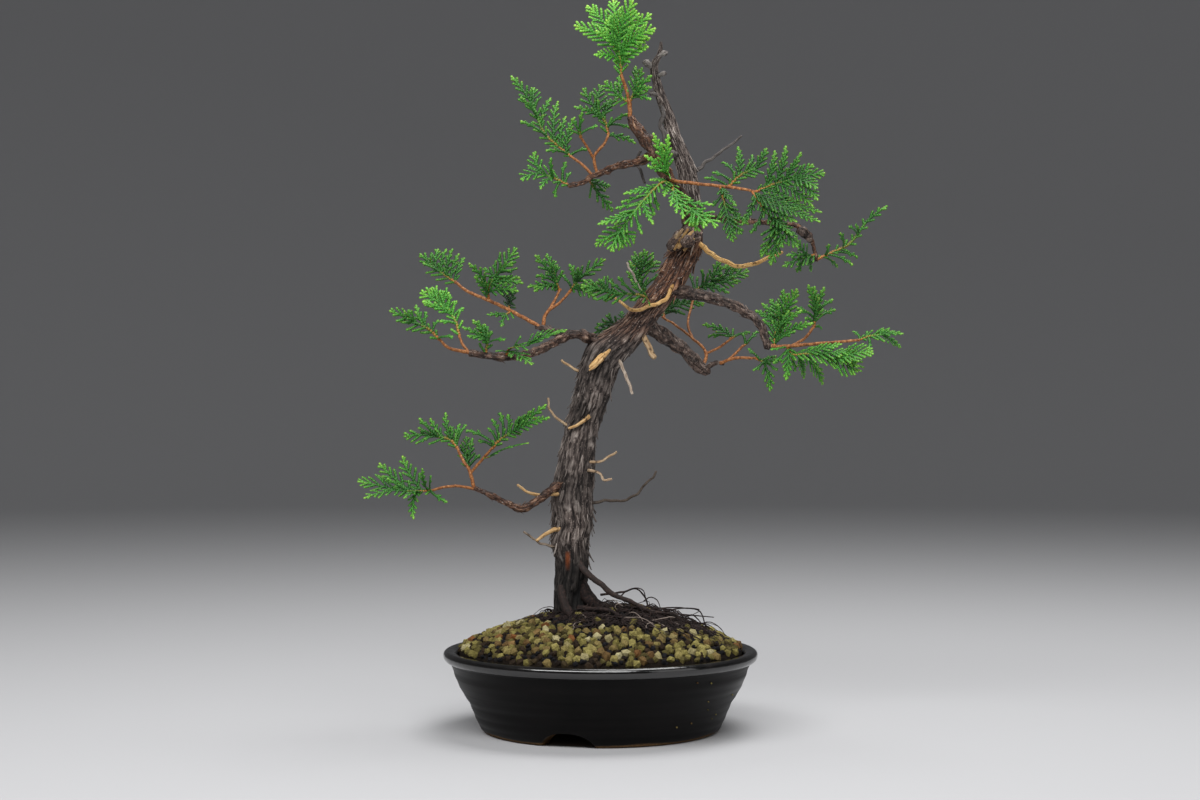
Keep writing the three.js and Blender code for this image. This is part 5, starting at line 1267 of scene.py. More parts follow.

# Foliage: flat sprays of shoots, and every shoot a string of scale leaves.
# A spray's face is the way that its flat looks: degrees from the front towards the right, and up.
# Each frond is its place along the stem, then its tip's x, z and depth.
# A habit is how far apart side shoots stand and how long they are, against the other sprays.
# A spray's light, from 0 to 1, picks its greens: low as painted shade for sprays behind and inside
# the tree, high as painted light for the crown, along with how fresh its green is.
sprays = {
    "spray_low_left_tip": {
        "face": (-15, 40), "light": 0.5,
        "stem": [(-105, 149.5, -23.7), (-115, 149, -27), (-128, 149.5, -31)],
        "fronds": [(1, -152, 155, -36), (0.75, -148, 144.5, -42), (0.55, -138.5, 166.5, -22),
                   (0.25, -124, 171, -17), (0.15, -111.5, 163, -32), (0.4, -117, 131.5, -36),
                   (0.05, -96, 142, -31), (0.05, -106, 158.5, -28), (0.7, -133.5, 157, -32),
                   (0.35, -123, 144.5, -36)],
    },
    "spray_low_left_upper": {
        "face": (-10, 25), "light": 0.5,
        "stem": [(-89.4, 175.5, -17.3), (-94, 181, -16), (-106, 184, -14)],
        "fronds": [(1, -123, 183, -12), (0.75, -113.5, 194.5, -17), (0.6, -106.5, 194.5, -8),
                   (0.35, -97, 198, -12), (0.1, -88, 191, -10), (0.8, -114, 188.5, -14),
                   (0.8, -110.5, 181.5, -15), (0.2, -93, 189, -10), (0.05, -84, 190.5, -12)],
    },
    "spray_low_left_stem_leaf": {
        "face": (20, 10), "light": 0.35,
        "stem": [(-82.2, 162.5, -19.8), (-83.5, 168, -15)],
        "fronds": [(1, -84, 183, -8), (0.7, -80, 182, -10), (0.4, -75.5, 171.5, -14),
                   (0.5, -87.5, 178, -10)],
    },
    "spray_low_left_fan": {
        "face": (5, 20), "light": 0.45, "habit": (0.9, 0.66),
        "stem": [(-68, 175.3, -23.7), (-63, 181, -25), (-54, 187, -27)],
        "fronds": [(0.15, -84, 187, -21), (0.3, -70.5, 188.5, -18), (0.55, -63, 198, -21),
                   (0.85, -51, 195.5, -24), (1, -34, 203, -31), (0.8, -32, 195, -36),
                   (0.4, -68, 194, -18), (0.7, -58, 197, -22), (0.9, -43.5, 199, -27),
                   (0.1, -76.5, 180.5, -20)],
    },
    "spray_low_left_edge": {
        "face": (0, 75), "light": 0.4, "habit": (0.9, 0.66),
        "stem": [(-74, 169, -21.6), (-68, 171, -26)],
        "fronds": [(1, -45, 179, -36), (0.6, -55, 176.5, -33)],
    },
    "spray_middle_left_tip": {
        "face": (-10, 30), "light": 0.55,
        "stem": [(-100.6, 243.6, -22.8), (-107, 250, -24), (-117, 255, -27)],
        "fronds": [(1, -132, 261.7, -32), (0.9, -123, 261.5, -32), (0.55, -115.5, 265.5, -19),
                   (0.35, -101.5, 256, -22), (0.6, -109, 261, -22), (0.1, -92.5, 245.5, -27),
                   (0.75, -125.5, 255, -30)],
    },
    "spray_middle_left_bright": {
        "face": (0, 15), "light": 0.9,
        "stem": [(-88.2, 245.4, -16.4), (-91, 256, -14), (-97, 264, -11)],
        "fronds": [(1, -113, 273, -7), (0.95, -105.5, 276.5, -4), (0.75, -95, 273.5, -3),
                   (0.6, -85.5, 263.5, -9), (0.7, -111.5, 267.5, -14), (1, -108.5, 275, -5),
                   (0.9, -100, 274, -5), (0.7, -90, 268, -6), (0.4, -100.5, 255, -16)],
    },
    "spray_middle_left_end_fan": {
        "face": (0, 30), "light": 0.5,
        "stem": [(-72, 234, -19), (-71, 241, -21), (-70.5, 243, -21)],
        "fronds": [(0.8, -86.5, 251.5, -26), (1, -80, 256, -22), (1, -72.5, 253.5, -16),
                   (0.9, -68, 249, -22), (0.8, -60, 243.5, -28), (0.9, -83.5, 246, -26),
                   (0.9, -78, 255, -18)],
    },
    "spray_middle_left_edge": {
        "face": (0, 65), "light": 0.45,
        "stem": [(-59, 233, -17), (-57, 238, -22), (-46, 240, -27)],
        "fronds": [(1, -26, 249, -30), (0.3, -43, 228, -36), (0.2, -65.5, 236.5, -28),
                   (1, -37, 248, -28), (0.6, -50, 246, -24), (1, -21, 250, -31)],
    },
    "spray_upper_far_left": {
        "face": (-5, 15), "light": 0.5,
        "stem": [(-90, 279.2, 16.7), (-97, 284, 19), (-103, 288, 21)],
        "fronds": [(1, -113, 297.5, 22), (1, -101.5, 300.5, 27), (0.45, -92.5, 300.5, 20),
                   (0.1, -85, 295, 24), (0.8, -111, 291.5, 20), (0.7, -96.5, 300.5, 24),
                   (0.3, -88.5, 297.5, 22)],
    },
    "spray_long_twig_fan": {
        "face": (0, 10), "light": 0.45,
        "stem": [(-70, 269, 9.5), (-70.4, 276, 7), (-66, 283, 6)],
        "fronds": [(0.5, -82.5, 291.5, 0), (0.9, -73.5, 288, 8), (1, -55, 292.5, 2),
                   (1, -52.3, 301, 11), (0.7, -48.5, 279, 2), (0.2, -79, 283, -2),
                   (0.6, -50.5, 282.5, 8), (0.3, -51.5, 274, -3)],
    },
    "spray_long_twig_under": {
        "face": (0, 35), "light": 0.45,
        "stem": [(-56, 261.5, 3), (-60, 259, -2)],
        "fronds": [(1, -71, 259.5, -8), (0.7, -62, 252, -9)],
    },
    "spray_long_twig_dark": {
        "face": (30, 0), "light": 0.1,
        "stem": [(-57, 262, 3.5), (-57.5, 267, 10)],
        "fronds": [(1, -59, 280, 17), (0.5, -64, 278, 14), (0.6, -53.5, 278, 14)],
    },
    "spray_forked_twig_left": {
        "face": (0, 10), "light": 0.4,
        "stem": [(-25.7, 274, 9.3), (-28, 281, 8)],
        "fronds": [(0.3, -45.5, 276.5, 1), (0.9, -41, 296.5, 5), (1, -33.5, 297.5, 12),
                   (1, -29.5, 293, 18), (0.8, -40, 284, 4), (0.6, -41.5, 274, 0)],
    },
    "spray_forked_twig_right": {
        "face": (0, 15), "light": 0.35,
        "stem": [(-19.8, 273, 7.5), (-15, 280, 6)],
        "fronds": [(0.9, -19.5, 291, 12), (0.9, -14, 289, 0), (0.9, 3, 294, 5),
                   (0.3, -2.5, 274, -2), (0.5, -2, 268.5, -4), (1, -6, 287.5, 4),
                   (0.3, -24, 284, 8)],
    },
    "spray_trunk_left": {
        "face": (0, 20), "light": 0.4,
        "stem": [(31, 267, -5), (26, 271.5, -14), (8, 273, -17)],
        "fronds": [(1, -12, 278, -20), (0.9, 0.5, 281.5, -12), (0.6, 11, 283, -20),
                   (0.35, 19, 281.5, -10), (0.95, -6.5, 275, -18), (0.75, 5.5, 280.5, -18),
                   (0.8, 2, 268.5, -16), (0.4, 18.5, 268.5, -14)],
    },
    "spray_crown": {
        "face": (5, 15), "light": 0.95, "habit": (0.8, 1.1),
        "stem": [(13.1, 408.2, -11.8), (12.5, 418, -13), (11, 430, -14)],
        "fronds": [(0.5, -4, 422, -22), (0.75, -16.5, 440.5, -18), (1, -8.5, 453, -10),
                   (1, 8, 456.4, -6), (0.95, 20.5, 456, -19), (0.75, 32, 447.5, -15),
                   (0.6, 34.5, 438.5, -27), (0.35, 30, 427, -22), (0.9, 24.5, 448, -12),
                   (0.6, 31, 432.5, -24), (0.95, 3.5, 444, -15), (0.75, -3, 437, -24)],
    },
    "spray_crown_right": {
        "face": (10, 10), "light": 0.55,
        "stem": [(17.9, 391.5, -10), (21, 398, -11)],
        "fronds": [(1, 22, 415, -6), (1, 32, 409, -15), (0.5, 31.5, 394, -18), (1, 26, 414, -9),
                   (0.8, 32, 401.5, -20)],
    },
    "spray_crown_left": {
        "face": (-20, 5), "light": 0.8,
        "stem": [(18, 392, -10), (13.5, 395, -5)],
        "fronds": [(1, 2.5, 405.5, 1), (0.9, 12, 409, 3)],
    },
    "spray_upper_left_tip": {
        "face": (0, 15), "light": 0.5, "habit": (1.0, 0.72),
        "stem": [(-18, 358, 5.6), (-25.4, 364.3, 8), (-35, 373, 10), (-42, 390, 12)],
        "fronds": [(1, -56, 408.8, 14), (0.95, -41.5, 401.5, 18), (0.8, -50, 395.5, 5),
                   (0.7, -31, 395, 17), (0.5, -50, 380.5, 4), (0.35, -26.5, 393, 16),
                   (0.08, -34, 362, 0), (0.1, -16, 383, 12), (0.22, -21.5, 383.5, 14),
                   (0.02, -8.5, 363, 8)],
    },
    "spray_upper_left_inner": {
        "face": (5, 15), "light": 0.45,
        "stem": [(5, 371.8, 3.8), (3, 380, 4), (-2, 386, 3)],
        "fronds": [(0.7, -16.5, 389.5, 0), (1, -11, 401, 5), (1, 1, 403, 10), (0.7, 12, 396, 8),
                   (0.3, 17, 385, 3), (0.05, 22, 366.5, 6), (0.4, 19.5, 376, 6),
                   (0.6, 6.5, 394.5, 12)],
    },
    "spray_upper_left_front": {
        "face": (0, 20), "light": 0.6,
        "stem": [(-12.2, 370, -1.8), (-13, 374, -4)],
        "fronds": [(0.8, -18, 382, -6), (1, -11.5, 386, -9), (0.5, -2, 377.5, -2)],
    },
    "spray_upper_left_end": {
        "face": (0, 32), "light": 0.6,
        "stem": [(-19, 340.2, 5), (-28, 344.5, 5), (-37, 348, 3)],
        "fronds": [(1, -50, 344, -3), (0.95, -42, 361, 7), (0.6, -31, 357.5, 0),
                   (0.25, -21.5, 355, 8), (0.55, -37.5, 338, -5), (0.3, -28.5, 333, 3),
                   (0.15, -18.5, 348.5, 8), (0.8, -38, 352.5, 1)],
    },
    "spray_upper_left_hanging": {
        "face": (0, 10), "light": 0.4,
        "stem": [(-7.5, 344.5, 3.5), (-4, 339, 8)],
        "fronds": [(1, 7.5, 324, 13), (0.45, 6, 340, 15)],
    },
    "spray_centre_upright": {
        "face": (0, 15), "light": 1, "habit": (0.9, 0.6),
        "stem": [(43.5, 345, -9), (42, 349, -17)],
        "fronds": [(1, 33, 373, -26), (1, 42.3, 372, -23), (1, 27.5, 359, -24), (1, 38, 367, -20),
                   (0.5, 29.5, 352.5, -22)],
    },
    "spray_centre_hanging": {
        "face": (-5, 30), "light": 0.75, "habit": (0.85, 0.85),
        "stem": [(44, 342, -9), (38, 342, -19), (25, 328.5, -27), (13, 313, -31)],
        "fronds": [(1, 6.5, 299, -35), (0.95, -3.5, 303.5, -27), (0.8, -1.5, 316, -36),
                   (0.62, 9.5, 326, -23), (0.35, 14.5, 335, -24), (0.42, 36.5, 325, -20),
                   (0.62, 33, 316, -33), (0.95, 21.5, 306, -28), (0.5, 13, 330, -21),
                   (0.52, 34, 322, -24), (0.75, 26, 310, -31), (0.95, 14, 301, -32),
                   (0.02, 31, 343.5, -22), (0.05, 40, 333.5, -24), (0.12, 33, 338, -22),
                   (0.75, 9, 320.5, -24)],
    },
    "spray_centre_right": {
        "face": (0, 30), "light": 0.8,
        "stem": [(45.5, 341, -11), (46, 336, -19), (57, 325, -26)],
        "fronds": [(1, 73.5, 315, -32), (0.9, 59.5, 312, -29), (0.6, 51.5, 319.5, -31),
                   (0.35, 44, 327.5, -27), (0.75, 70, 328.5, -27), (1, 66.5, 315, -33),
                   (0.9, 55.5, 315, -30), (0.5, 47.5, 323, -30), (1, 70, 321, -28)],
    },
    "spray_upper_right_top": {
        "face": (0, 20), "light": 0.4, "habit": (0.8, 0.82),
        "stem": [(80, 339.4, -19.9), (88, 347, -20), (97, 351, -21)],
        "fronds": [(0.15, 70, 348.5, -14), (0.45, 86, 364.5, -15), (0.75, 95, 359.5, -16),
                   (1, 104, 363.5, -21), (0.3, 76.5, 355, -12), (0.04, 65, 345, -13)],
    },
    "spray_upper_right_outer": {
        "face": (0, 25), "light": 0.4, "habit": (0.8, 0.82),
        "stem": [(97, 336.4, -22.9), (108, 341, -25), (120, 344, -29)],
        "fronds": [(0.3, 109, 362, -22), (0.75, 125.5, 361, -30), (1, 140.5, 348, -35),
                   (1, 136, 331, -41), (0.5, 133, 327, -38), (0.5, 116, 365, -25),
                   (0.9, 133, 353.5, -31), (0.95, 136, 338.5, -40), (0.15, 125, 328.5, -34)],
    },
    "spray_upper_right_low": {
        "face": (0, 30), "light": 0.3, "habit": (0.8, 0.82),
        "stem": [(95, 336.7, -22.5), (102, 326, -29), (110, 317, -34)],
        "fronds": [(0.25, 137.5, 317.5, -44), (1, 123.5, 301.5, -41), (0.95, 106.5, 290.5, -37),
                   (0.55, 94, 310.5, -31), (0.5, 123, 317.5, -40), (0.8, 120, 309, -42),
                   (0.9, 100.5, 295.5, -34), (0.15, 88.5, 315.5, -28), (1, 114, 301.5, -40),
                   (0.1, 138.5, 323.5, -40)],
    },
    "spray_upper_right_inner": {
        "face": (0, 25), "light": 0.3, "habit": (0.8, 0.82),
        "stem": [(75, 339.9, -19), (77.5, 330, -24), (79, 323, -26)],
        "fronds": [(1, 83, 305, -30), (0.3, 70, 327.5, -22), (0.6, 92.5, 316, -25),
                   (0.7, 72.5, 318, -24), (0.9, 88.5, 310, -28), (0.05, 85, 327.5, -28)],
    },
    "spray_far_right_low": {
        "face": (0, 25), "light": 0.4,
        "stem": [(134.5, 297, 35), (129, 296, 31)],
        "fronds": [(1, 114, 289.5, 25), (0.9, 123, 286, 36), (0.6, 132, 286.5, 42),
                   (0.9, 121.5, 308, 23), (0.5, 116.5, 296.5, 26)],
    },
    "spray_far_right_tip": {
        "face": (0, 20), "light": 0.5, "habit": (1.3, 0.5),
        "stem": [(135.3, 294, 35), (145, 298.5, 37), (156, 304, 39), (166, 317, 41)],
        "fronds": [(1, 179.5, 327.5, 42), (0.75, 155.5, 314.5, 34), (0.3, 161, 295.5, 40),
                   (0.45, 150, 310.5, 31), (0.2, 158, 290.5, 36), (0.1, 148.5, 289, 43),
                   (0.8, 159.5, 315.5, 36), (0.84, 163, 313, 41), (0.15, 143, 303.5, 30)],
    },
    "spray_middle_right_upper": {
        "face": (0, 15), "light": 0.5, "habit": (0.8, 0.8),
        "stem": [(109, 239.7, -20.6), (109.5, 247, -19), (113, 254, -17)],
        "fronds": [(0.7, 97, 262, -9), (1, 106, 269, -11), (1, 114.5, 275, -15),
                   (1, 123, 275.5, -24), (0.8, 101, 266.5, -8), (0.4, 101.5, 256.5, -14),
                   (0.3, 118, 262, -22), (0.6, 126, 262, -24), (0.2, 133, 254, -26),
                   (0.1, 122, 249, -24), (0.8, 111, 266, -20)],
    },
    "spray_middle_right_tall": {
        "face": (0, 15), "light": 0.5, "habit": (0.8, 0.8),
        "stem": [(133.6, 251.8, -18.2), (134, 256, -18), (134.5, 260, -19)],
        "fronds": [(0.9, 130, 278, -26), (1, 140, 276.5, -20), (0.4, 147, 262.5, -13),
                   (1, 145.5, 269, -16), (0.1, 138.5, 251, -14), (0.6, 123, 263.5, -22),
                   (0.5, 136.5, 270, -22), (0.2, 128, 257, -24), (0.8, 134, 277, -24)],
    },
    "spray_middle_right_tip": {
        "face": (0, 40), "light": 0.6, "habit": (0.8, 0.82),
        "stem": [(161, 243.3, -28.8), (168.7, 246, -31), (176, 247, -33)],
        "fronds": [(1, 189.5, 247.5, -36), (0.9, 188, 239, -28), (0.5, 177.5, 250, -26),
                   (0.4, 168, 238, -36), (0.1, 158, 249, -22), (0.7, 183.5, 249, -30),
                   (0.3, 167, 249, -28)],
    },
    "spray_middle_right_fan": {
        "face": (0, 40), "light": 0.65, "habit": (0.75, 1.15),
        "stem": [(117, 239.7, -21.7), (119, 235, -22), (131, 235, -27), (147, 232, -31)],
        "fronds": [(0.06, 116, 218.5, -24), (0.3, 127.5, 219.5, -17), (1, 161, 223.5, -35),
                   (0.9, 170.5, 236.5, -38), (0.8, 162, 227, -37), (0.5, 151, 241, -30),
                   (0.4, 137.5, 224, -25), (0.9, 157, 232, -36), (0.45, 139.5, 216, -20),
                   (0.6, 161, 235.5, -34), (0.15, 122, 224, -20), (0.05, 108, 229, -22),
                   (0.02, 106.5, 237.5, -22)],
    },
    "spray_inner_right_low": {
        "face": (0, 30), "light": 0.45,
        "stem": [(97, 232.2, -8.9), (102, 230, -10)],
        "fronds": [(1, 106, 211.5, -13), (0.9, 95.5, 224.5, -13), (1, 110.5, 224.5, -14),
                   (0.5, 92.5, 238, -8), (0.9, 115.5, 231, -14)],
    },
    "spray_inner_right_leaf": {
        "face": (0, 40), "light": 0.5,
        "stem": [(89, 239.6, -2.2), (91.5, 241.5, 0)],
        "fronds": [(1, 98, 249, 5), (0.5, 89, 247.5, 2)],
    },
    "spray_inner_right_back": {
        "face": (0, 25), "light": 0.45,
        "stem": [(81, 244, 8), (84, 246, 10)],
        "fronds": [(0.8, 64, 253, 14), (1, 93.5, 248.5, 16), (0.5, 67.5, 246, 12)],
    },
    "spray_behind_right": {
        "face": (0, 15), "light": 0.3,
        "stem": [(57.5, 267.4, 29.2), (60, 275, 33), (69, 279, 35)],
        "fronds": [(0.4, 55, 285.5, 38), (0.7, 63.5, 287.5, 31), (0.9, 73, 292.5, 36),
                   (1, 86, 288.5, 40), (0.9, 86, 279, 32), (0.3, 70, 271, 30), (0.9, 93, 286.5, 40),
                   (0.6, 79, 290.5, 34), (0.7, 80.5, 273, 30)],
    },
    "spray_behind_trunk": {
        "face": (0, 15), "light": 0.2,
        "stem": [(39.5, 257.5, 23.6), (40, 262, 26)],
        "fronds": [(1, 65, 266.5, 31), (0.5, 36, 257.5, 28), (0.8, 56.5, 268, 30),
                   (0.6, 51, 261, 30)],
    },
    "spray_above_trunk": {
        "face": (0, 10), "light": 0.35,
        "stem": [(34, 267, 3), (27, 274, 14), (25, 284, 18)],
        "fronds": [(0.45, 16.5, 286.5, 12), (0.9, 21.5, 296.5, 22), (1, 29.5, 299, 18),
                   (1, 35.5, 293, 23), (0.7, 38.5, 285, 16), (0.7, 18.5, 292.5, 16),
                   (1, 25.5, 298.5, 20)],
    },
    "spray_behind_left": {
        "face": (0, 25), "light": 0.15,
        "stem": [(22, 253, 4), (15, 252, 15), (10, 252, 19)],
        "fronds": [(0.7, 13.5, 261.5, 25), (1, 3.5, 259, 18), (1, -4.5, 247.5, 27),
                   (0.9, -1.5, 253.5, 22), (0.4, 20.5, 261.5, 22)],
    },
}

foliage = {
    "pitch": 1.7 * mm,  # from one pair of scale leaves to the next
    "halfWidth": 0.98 * mm,
    "halfThickness": 0.38 * mm,
    "roll": 0.16,
    "shootSpacing": 2.4 * mm,  # between side shoots, which stand on alternate sides
    "lobeSpacing": 4.2 * mm,  # along a plain finger
    "plainLength": 7 * mm,  # fronds up to about this and twice leastShoot are plain fingers
    "shootShare": 0.46,
    "leastShoot": 4.6 * mm,
    "mostShoot": 12 * mm,
    "stemShoot": 9 * mm,
    "shortest": 1.7 * mm,  # what would be shorter is left out
    "clearance": 1.25 * mm,  # how near a side shoot's tip may come to another frond
    "room": 0.6,  # at least as near to its own axis as this share of the way to another
    "arch": 0.2,
    "carriesOn": 0.85,  # fronds from here on along the stem start at its very end
    "seed": 5,
}


def flatOf(face):
    turn, tilt = (math.radians(v) for v in face)
    return np.array([math.sin(turn) * math.cos(tilt), -math.cos(turn) * math.cos(tilt),
                     math.sin(tilt)])


def addScale(scales, *values):
    for row, value in zip(scales.values(), values):
        row.append(value)


def addShoot(scales, start, way, normal, length, width, bend, droop, tones):
    count = max(2, int(round(length / foliage["pitch"])))
    side = unit(np.cross(normal, way))
    bow = side * bend * length
    sag = normal * droop * length
    for s in np.arange(count) / count:
        place = start + way * length * s + bow * s * s - sag * s * s
        along = unit(way * length + 2 * bow * s - 2 * sag * s)
        taper = 1 - 0.12 * s
        size = (width * taper, min(1.0, width) * taper, length / count / foliage["pitch"])
        addScale(scales, place, along, side, size, tones[0] + (tones[1] - tones[0]) * s ** 1.5, 0.0)


def clearOf(point, axes, reach):
    if not len(axes[0]):
        return True
    run = axes[1] - axes[0]
    share = np.clip(((point - axes[0]) * run).sum(1) / (run * run).sum(1), 0, 1)
    return np.linalg.norm(point - axes[0] - run * share[:, None], axis=1).min() > reach


def fitShoot(start, heading, full, angle, others):
    # the shoot's tip stays nearer to its own axis than to the next one
    for share in (1, 0.88, 0.76, 0.64, 0.52, 0.4, 0.3):
        away = max(foliage["clearance"], full * share * math.sin(angle) * foliage["room"])
        if clearOf(start + heading * full * share, others, away):
            return full * share
    return 0


def addLobes(scales, start, heading, lift, size, hand, young, draw):
    # short lobes towards the tip of a side shoot
    branch = unit(np.cross(lift, heading))
    for j, u in enumerate((0.66, 0.44)[:int((size / mm - 3) / 4 + draw(9))]):
        sideOf = (-hand, hand)[j]
        small = (0.2 * (1 - u) * size + 1.2 * mm) * (1 + 0.5 * draw(6 + j))
        spring = start + (heading - lift * 0.09 * u * u) * size * u
        ahead = unit(heading * 0.9 + branch * sideOf * 0.44)
        addShoot(scales, spring, ahead, lift, small, 0.85, -0.1 * sideOf, 0.08,
                 (young + 0.1, min(1, young + 0.35)))


def addSideShoot(scales, start, along, out, lift, hand, angle, full, others, young, draw):
    heading = unit(along * math.cos(angle) + out * math.sin(angle) + lift * (0.08 + 0.18 * draw(3)))
    size = fitShoot(start, heading, full, angle, others)
    if size < foliage["shortest"]:
        return
    addShoot(scales, start, heading, lift, size, 1.0, -0.12 * hand, 0.09,
             (young, min(1, young + 0.4)))
    addLobes(scales, start, heading, lift, size, hand, young, draw)


def addFrond(scales, start, tip, normal, stemWay, others, freshAndLit, seed, behind, gap, shoots):
    # behind is how much of the axis lies before the frond, where it carries on from the stem's end
    run = tip - start
    length = float(np.linalg.norm(run))
    way = run / length
    side = unit(np.cross(normal, way))
    lift = np.cross(way, side)
    lean = float(stemWay.dot(side))

    def at(s):
        return start + run * s + (lift * foliage["arch"] + side * lean * 0.3) * length * s * (1 - s)

    def wayAt(s):
        return unit(at(min(s + 0.02, 1)) - at(max(s - 0.02, 0)))

    def draw(k):
        return float(chance(i + 0.3 * k, seed + k)) - 0.5

    count = max(4, int(round(length / foliage["pitch"])))
    for i in range(count):
        s = i / count
        size = (1.0 - 0.12 * s, 1.1, length / count / foliage["pitch"])
        addScale(scales, at(s), wayAt(s), side, size, 0.1 + 0.75 * s ** 3 + freshAndLit, 0.0)
    reach = foliage["shootShare"] * (length + 0.5 * behind - foliage["plainLength"]) * shoots
    if reach < foliage["leastShoot"]:
        # a plain finger, with small lobes near its tip
        for i in range(int(length / foliage["lobeSpacing"])):
            s, hand = 1 - (2.2 + 2.4 * i + 0.8 * draw(1)) * mm / length, 1 if (i + seed) % 2 else -1
            angle = math.radians(34 + 8 * draw(3))
            heading = unit(wayAt(s) * math.cos(angle) + side * hand * math.sin(angle))
            size = (1.9 + 0.55 * min(i, 3) + 1.2 * draw(2)) * mm
            if clearOf(at(s) + heading * size, others, 1.1 * mm):
                addShoot(scales, at(s), heading, lift, size, 0.88, -0.1 * hand, 0.08,
                         (0.2 + freshAndLit, 0.5 + freshAndLit))
        return
    longest = min(reach, foliage["mostShoot"] * shoots)
    narrow = min(1, longest / (8 * mm))  # short side shoots lie closer to the axis
    number = max(3, int(length * 0.9 / (foliage["shootSpacing"] * gap * (0.7 + 0.3 * narrow))))
    for i in range(number):
        s = 0.05 + 0.9 * (i + 0.3 * draw(1)) / number
        hand = 1 if (i + seed) % 2 else -1
        angle = math.radians(33 + 13 * narrow - 9 * s + 8 * draw(2))
        swell = 1 if behind else min(1, 0.55 + 1.8 * s)
        full = max(longest * swell * (1 - s) ** 0.6 * (1 + 0.3 * draw(4)), 1.9 * mm)
        addSideShoot(scales, at(s), wayAt(s), side * hand, lift, hand, angle, full, others,
                     0.1 + 0.45 * s * s + freshAndLit, draw)


def addStem(scales, stem, ways, normal, others, freshAndLit, seed, gap, shoots):
    for i, (place, way) in enumerate(zip(stem, ways)):
        s = i / len(stem)
        size = (1.1 - 0.15 * s, 1.35 - 0.3 * s, 1.0)
        addScale(scales, place, way, unit(np.cross(normal, way)), size,
                 0.2 + 0.15 * s + freshAndLit, max(0, 0.85 - 1.1 * s))
    number = int(len(stem) * foliage["pitch"] / (foliage["shootSpacing"] * gap))
    for i in range(1, number):
        draw = lambda k: float(chance(i + 0.7 * k, seed + 3 * k)) - 0.5
        k = int(i / number * len(stem))
        hand = 1 if i % 2 else -1
        side = unit(np.cross(normal, ways[k]))
        angle = math.radians(48 + 10 * draw(2))
        full = foliage["stemShoot"] * min(1, 0.5 + i / number) * (1 + 0.3 * draw(4)) * shoots
        addSideShoot(scales, stem[k], ways[k], side * hand, np.cross(ways[k], side), hand, angle,
                     full, others, 0.2 + freshAndLit, draw)


def sprayScales(spray, index):
    scales = {key: [] for key in ("place", "along", "across", "size", "tone", "wood")}
    normal = flatOf(spray["face"])
    stem, radii, far = smoothLine(*seenLine(spray["stem"], view["depthSpread"]), foliage["pitch"])
    ways = units(np.gradient(stem, axis=0))
    # a lit spray's scale leaves start paler: painted light, along with fresher green
    freshAndLit = 0.1 * spray["light"]
    end = foliage["carriesOn"]
    shares = [share if share < end else 1 for share, *tip in spray["fronds"]]
    tips = np.array([seen(x, z, depth * view["depthSpread"])
                     for share, x, z, depth in spray["fronds"]])
    roots = [int(round(share * (len(stem) - 1))) for share in shares]
    starts = stem[roots]
    inner = starts * 0.8 + tips * 0.2
    habit = spray.get("habit", (1, 1))
    addStem(scales, stem, ways, normal, (inner, tips), freshAndLit, index, *habit)
    for i, root in enumerate(roots):
        rest = [j for j in range(len(roots)) if j != i]
        addFrond(scales, starts[i], tips[i], normal, ways[root], (inner[rest], tips[rest]), freshAndLit,
                 index * 7 + i, far[-1] if shares[i] == 1 else 0, *habit)
    return scales


def scaleShape():
    # one pair of side leaves and one pair of flat leaves, pointing along Z
    places = [place for wide, thick, z in ((0.74, 0.8, 0), (1, 1, 0.5), (0.84, 0.8, 1.0))
              for place in ((wide, 0, z), (0, thick, z), (-wide, 0, z), (0, -thick, z))]
    places.append((0, 0, 1.3))
    faces = [(3, 2, 1, 0)] + ringFaces(3, 4) + [(8 + k, 8 + (k + 1) % 4, 12) for k in range(4)]
    return meshFrom("scaleShape", [{"places": np.array(places, float), "faces": faces}], scaleGreen)


def makeScaleTree():
    tree, given = newTree("scaleLeaves", {
        "Length": "Float", "Half width": "Float", "Half thickness": "Float", "Roll": "Float",
        "Seed": "Int", "Shape": "Object", "Material": "Material"})
    least = combine(tree, "MULTIPLY", given["Roll"], -1.0)
    roll = joinAxes(tree, 0.0, 0.0, randomOf(tree, least, given["Roll"], given["Seed"]))
    full = joinAxes(tree, given["Half width"], given["Half thickness"], given["Length"])
    size = addNode(tree, "ShaderNodeVectorMath", {0: full, 1: named(tree, "size", "FLOAT_VECTOR")},
                   operation="MULTIPLY")
    placed = standOn(tree, given["Geometry"], given["Shape"], "along", "across", "X", roll,
                     size.outputs[0])
    endTree(tree, placed, ("along", "across", "size"))
    return tree


def makeSpray(name, spray, index):
    scales = sprayScales(spray, index)
    mesh = bpy.data.meshes.new(name)
    mesh.from_pydata(np.array(scales.pop("place")).tolist(), [], [])
    writePoints(mesh, {**scales, "light": [spray["light"]] * len(scales["tone"])})
    return grow(placePiece(name.title().replace("_", ""), mesh), scaleTree, {
        "Length": foliage["pitch"], "Half width": foliage["halfWidth"],
        "Half thickness": foliage["halfThickness"], "Roll": foliage["roll"],
        "Seed": foliage["seed"] + index, "Shape": scaleModel, "Material": scaleGreen})


scaleModel = scaleShape()
scaleTree = makeScaleTree()
for index, (name, spray) in enumerate(sprays.items()):
    setPiece(makeSpray(name, spray, index), "foliage", name)
bpy.data.objects.remove(scaleModel)
print("sprays made")

# Floor and soft studio light
room = {"reach": 5.0, "curve": 2.2, "height": 3.2, "sides": 96, "bends": 16,
        "shade": (0.46, 0.46, 0.47, 1)}


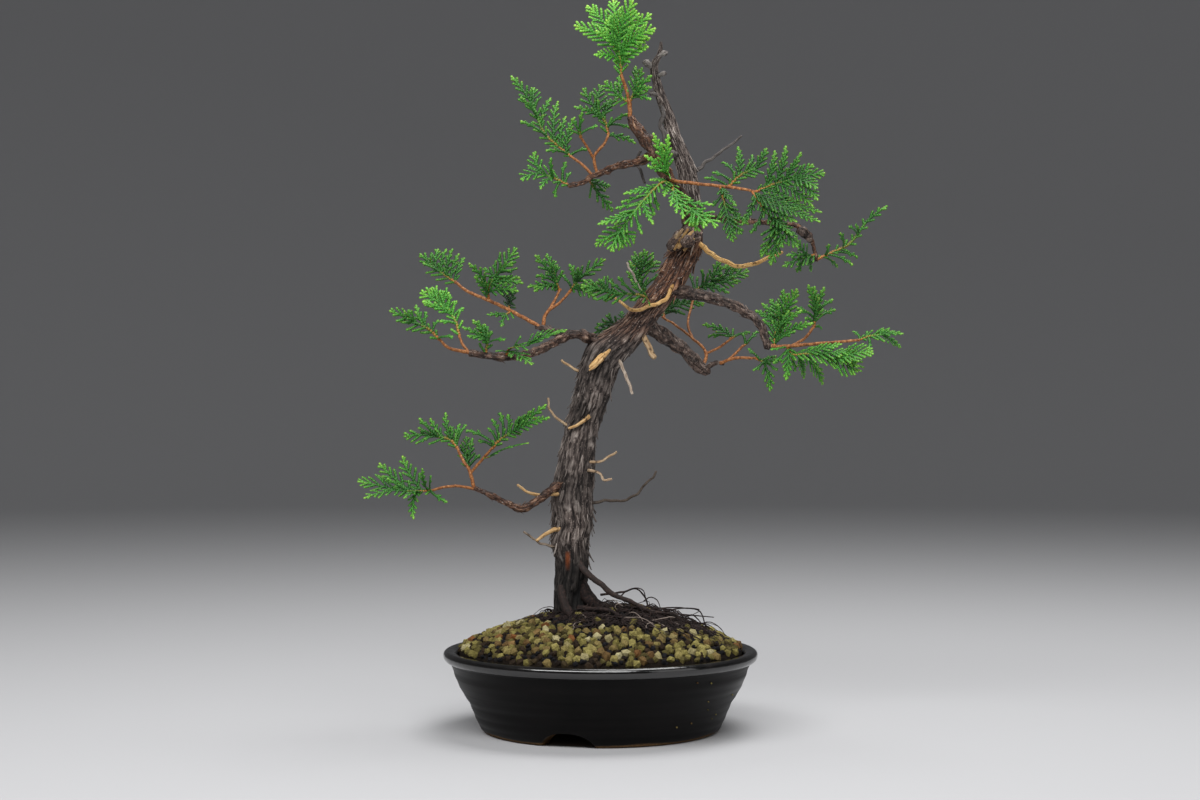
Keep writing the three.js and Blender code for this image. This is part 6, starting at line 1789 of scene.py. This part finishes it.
def makeRoom():
    # a flat round floor that curves up into a pale wall far away, the same from every side
    profile = []
    for i in range(room["bends"] + 1):
        turn = math.pi / 2 * i / room["bends"]
        profile.append((room["reach"] - room["curve"] * (1 - math.sin(turn)),
                        room["curve"] * (1 - math.cos(turn))))
    profile.append((room["reach"], room["height"]))
    places, sides = [(0, 0, 0)], room["sides"]
    for radius, height in profile:
        for k in range(sides):
            turn = 2 * math.pi * k / sides
            places.append((radius * math.cos(turn), radius * math.sin(turn), height))
    faces = [(0, 1 + k, 1 + (k + 1) % sides) for k in range(sides)]
    faces += ringFaces(len(profile), sides, 1, outward=False)
    material, tree, shader = newMaterial("paleFloor", Roughness=0.9, Base_Color=room["shade"])
    return meshFrom("floor", [{"places": np.array(places, float), "faces": faces}], material)


makeRoom()

lamps = {
    "keyLamp": {"place": (-0.35, -1.15, 1.25), "wide": 2.1, "deep": 0.6, "power": 35},
    "topLamp": {"place": (0.3, 0.2, 1.5), "wide": 0.9, "deep": 0.9, "power": 17},
    "fillLamp": {"place": (1.2, -0.9, 0.6), "wide": 1.0, "deep": 1.0, "power": 3},
}
for name, lamp in lamps.items():
    data = bpy.data.lights.new(name, "AREA")
    data.shape = "RECTANGLE"
    data.size = lamp["wide"]
    data.size_y = lamp["deep"]
    data.energy = lamp["power"]
    light = bpy.data.objects.new(name, data)
    light.location = lamp["place"]
    aim = Vector((0, 0, 0.2)) - Vector(lamp["place"])
    light.rotation_euler = aim.to_track_quat("-Z", "Y").to_euler()
    bpy.context.scene.collection.objects.link(light)
world = bpy.data.worlds.new("paleRoom")
world.use_nodes = True
world.node_tree.nodes["Background"].inputs["Color"].default_value = (0.75, 0.76, 0.78, 1)
world.node_tree.nodes["Background"].inputs["Strength"].default_value = 0.17
bpy.context.scene.world = world
bpy.context.scene.view_settings.view_transform = "Standard"

counts = {}
for piece in bpy.context.scene.objects:
    if piece.type == "MESH" and not piece.hide_render:
        counts[piece.name] = sum(len(face.vertices) - 2 for face in piece.data.polygons)
most = sorted(counts.items(), key=lambda item: -item[1])[:6]
print("triangles", sum(counts.values()), "most", most)
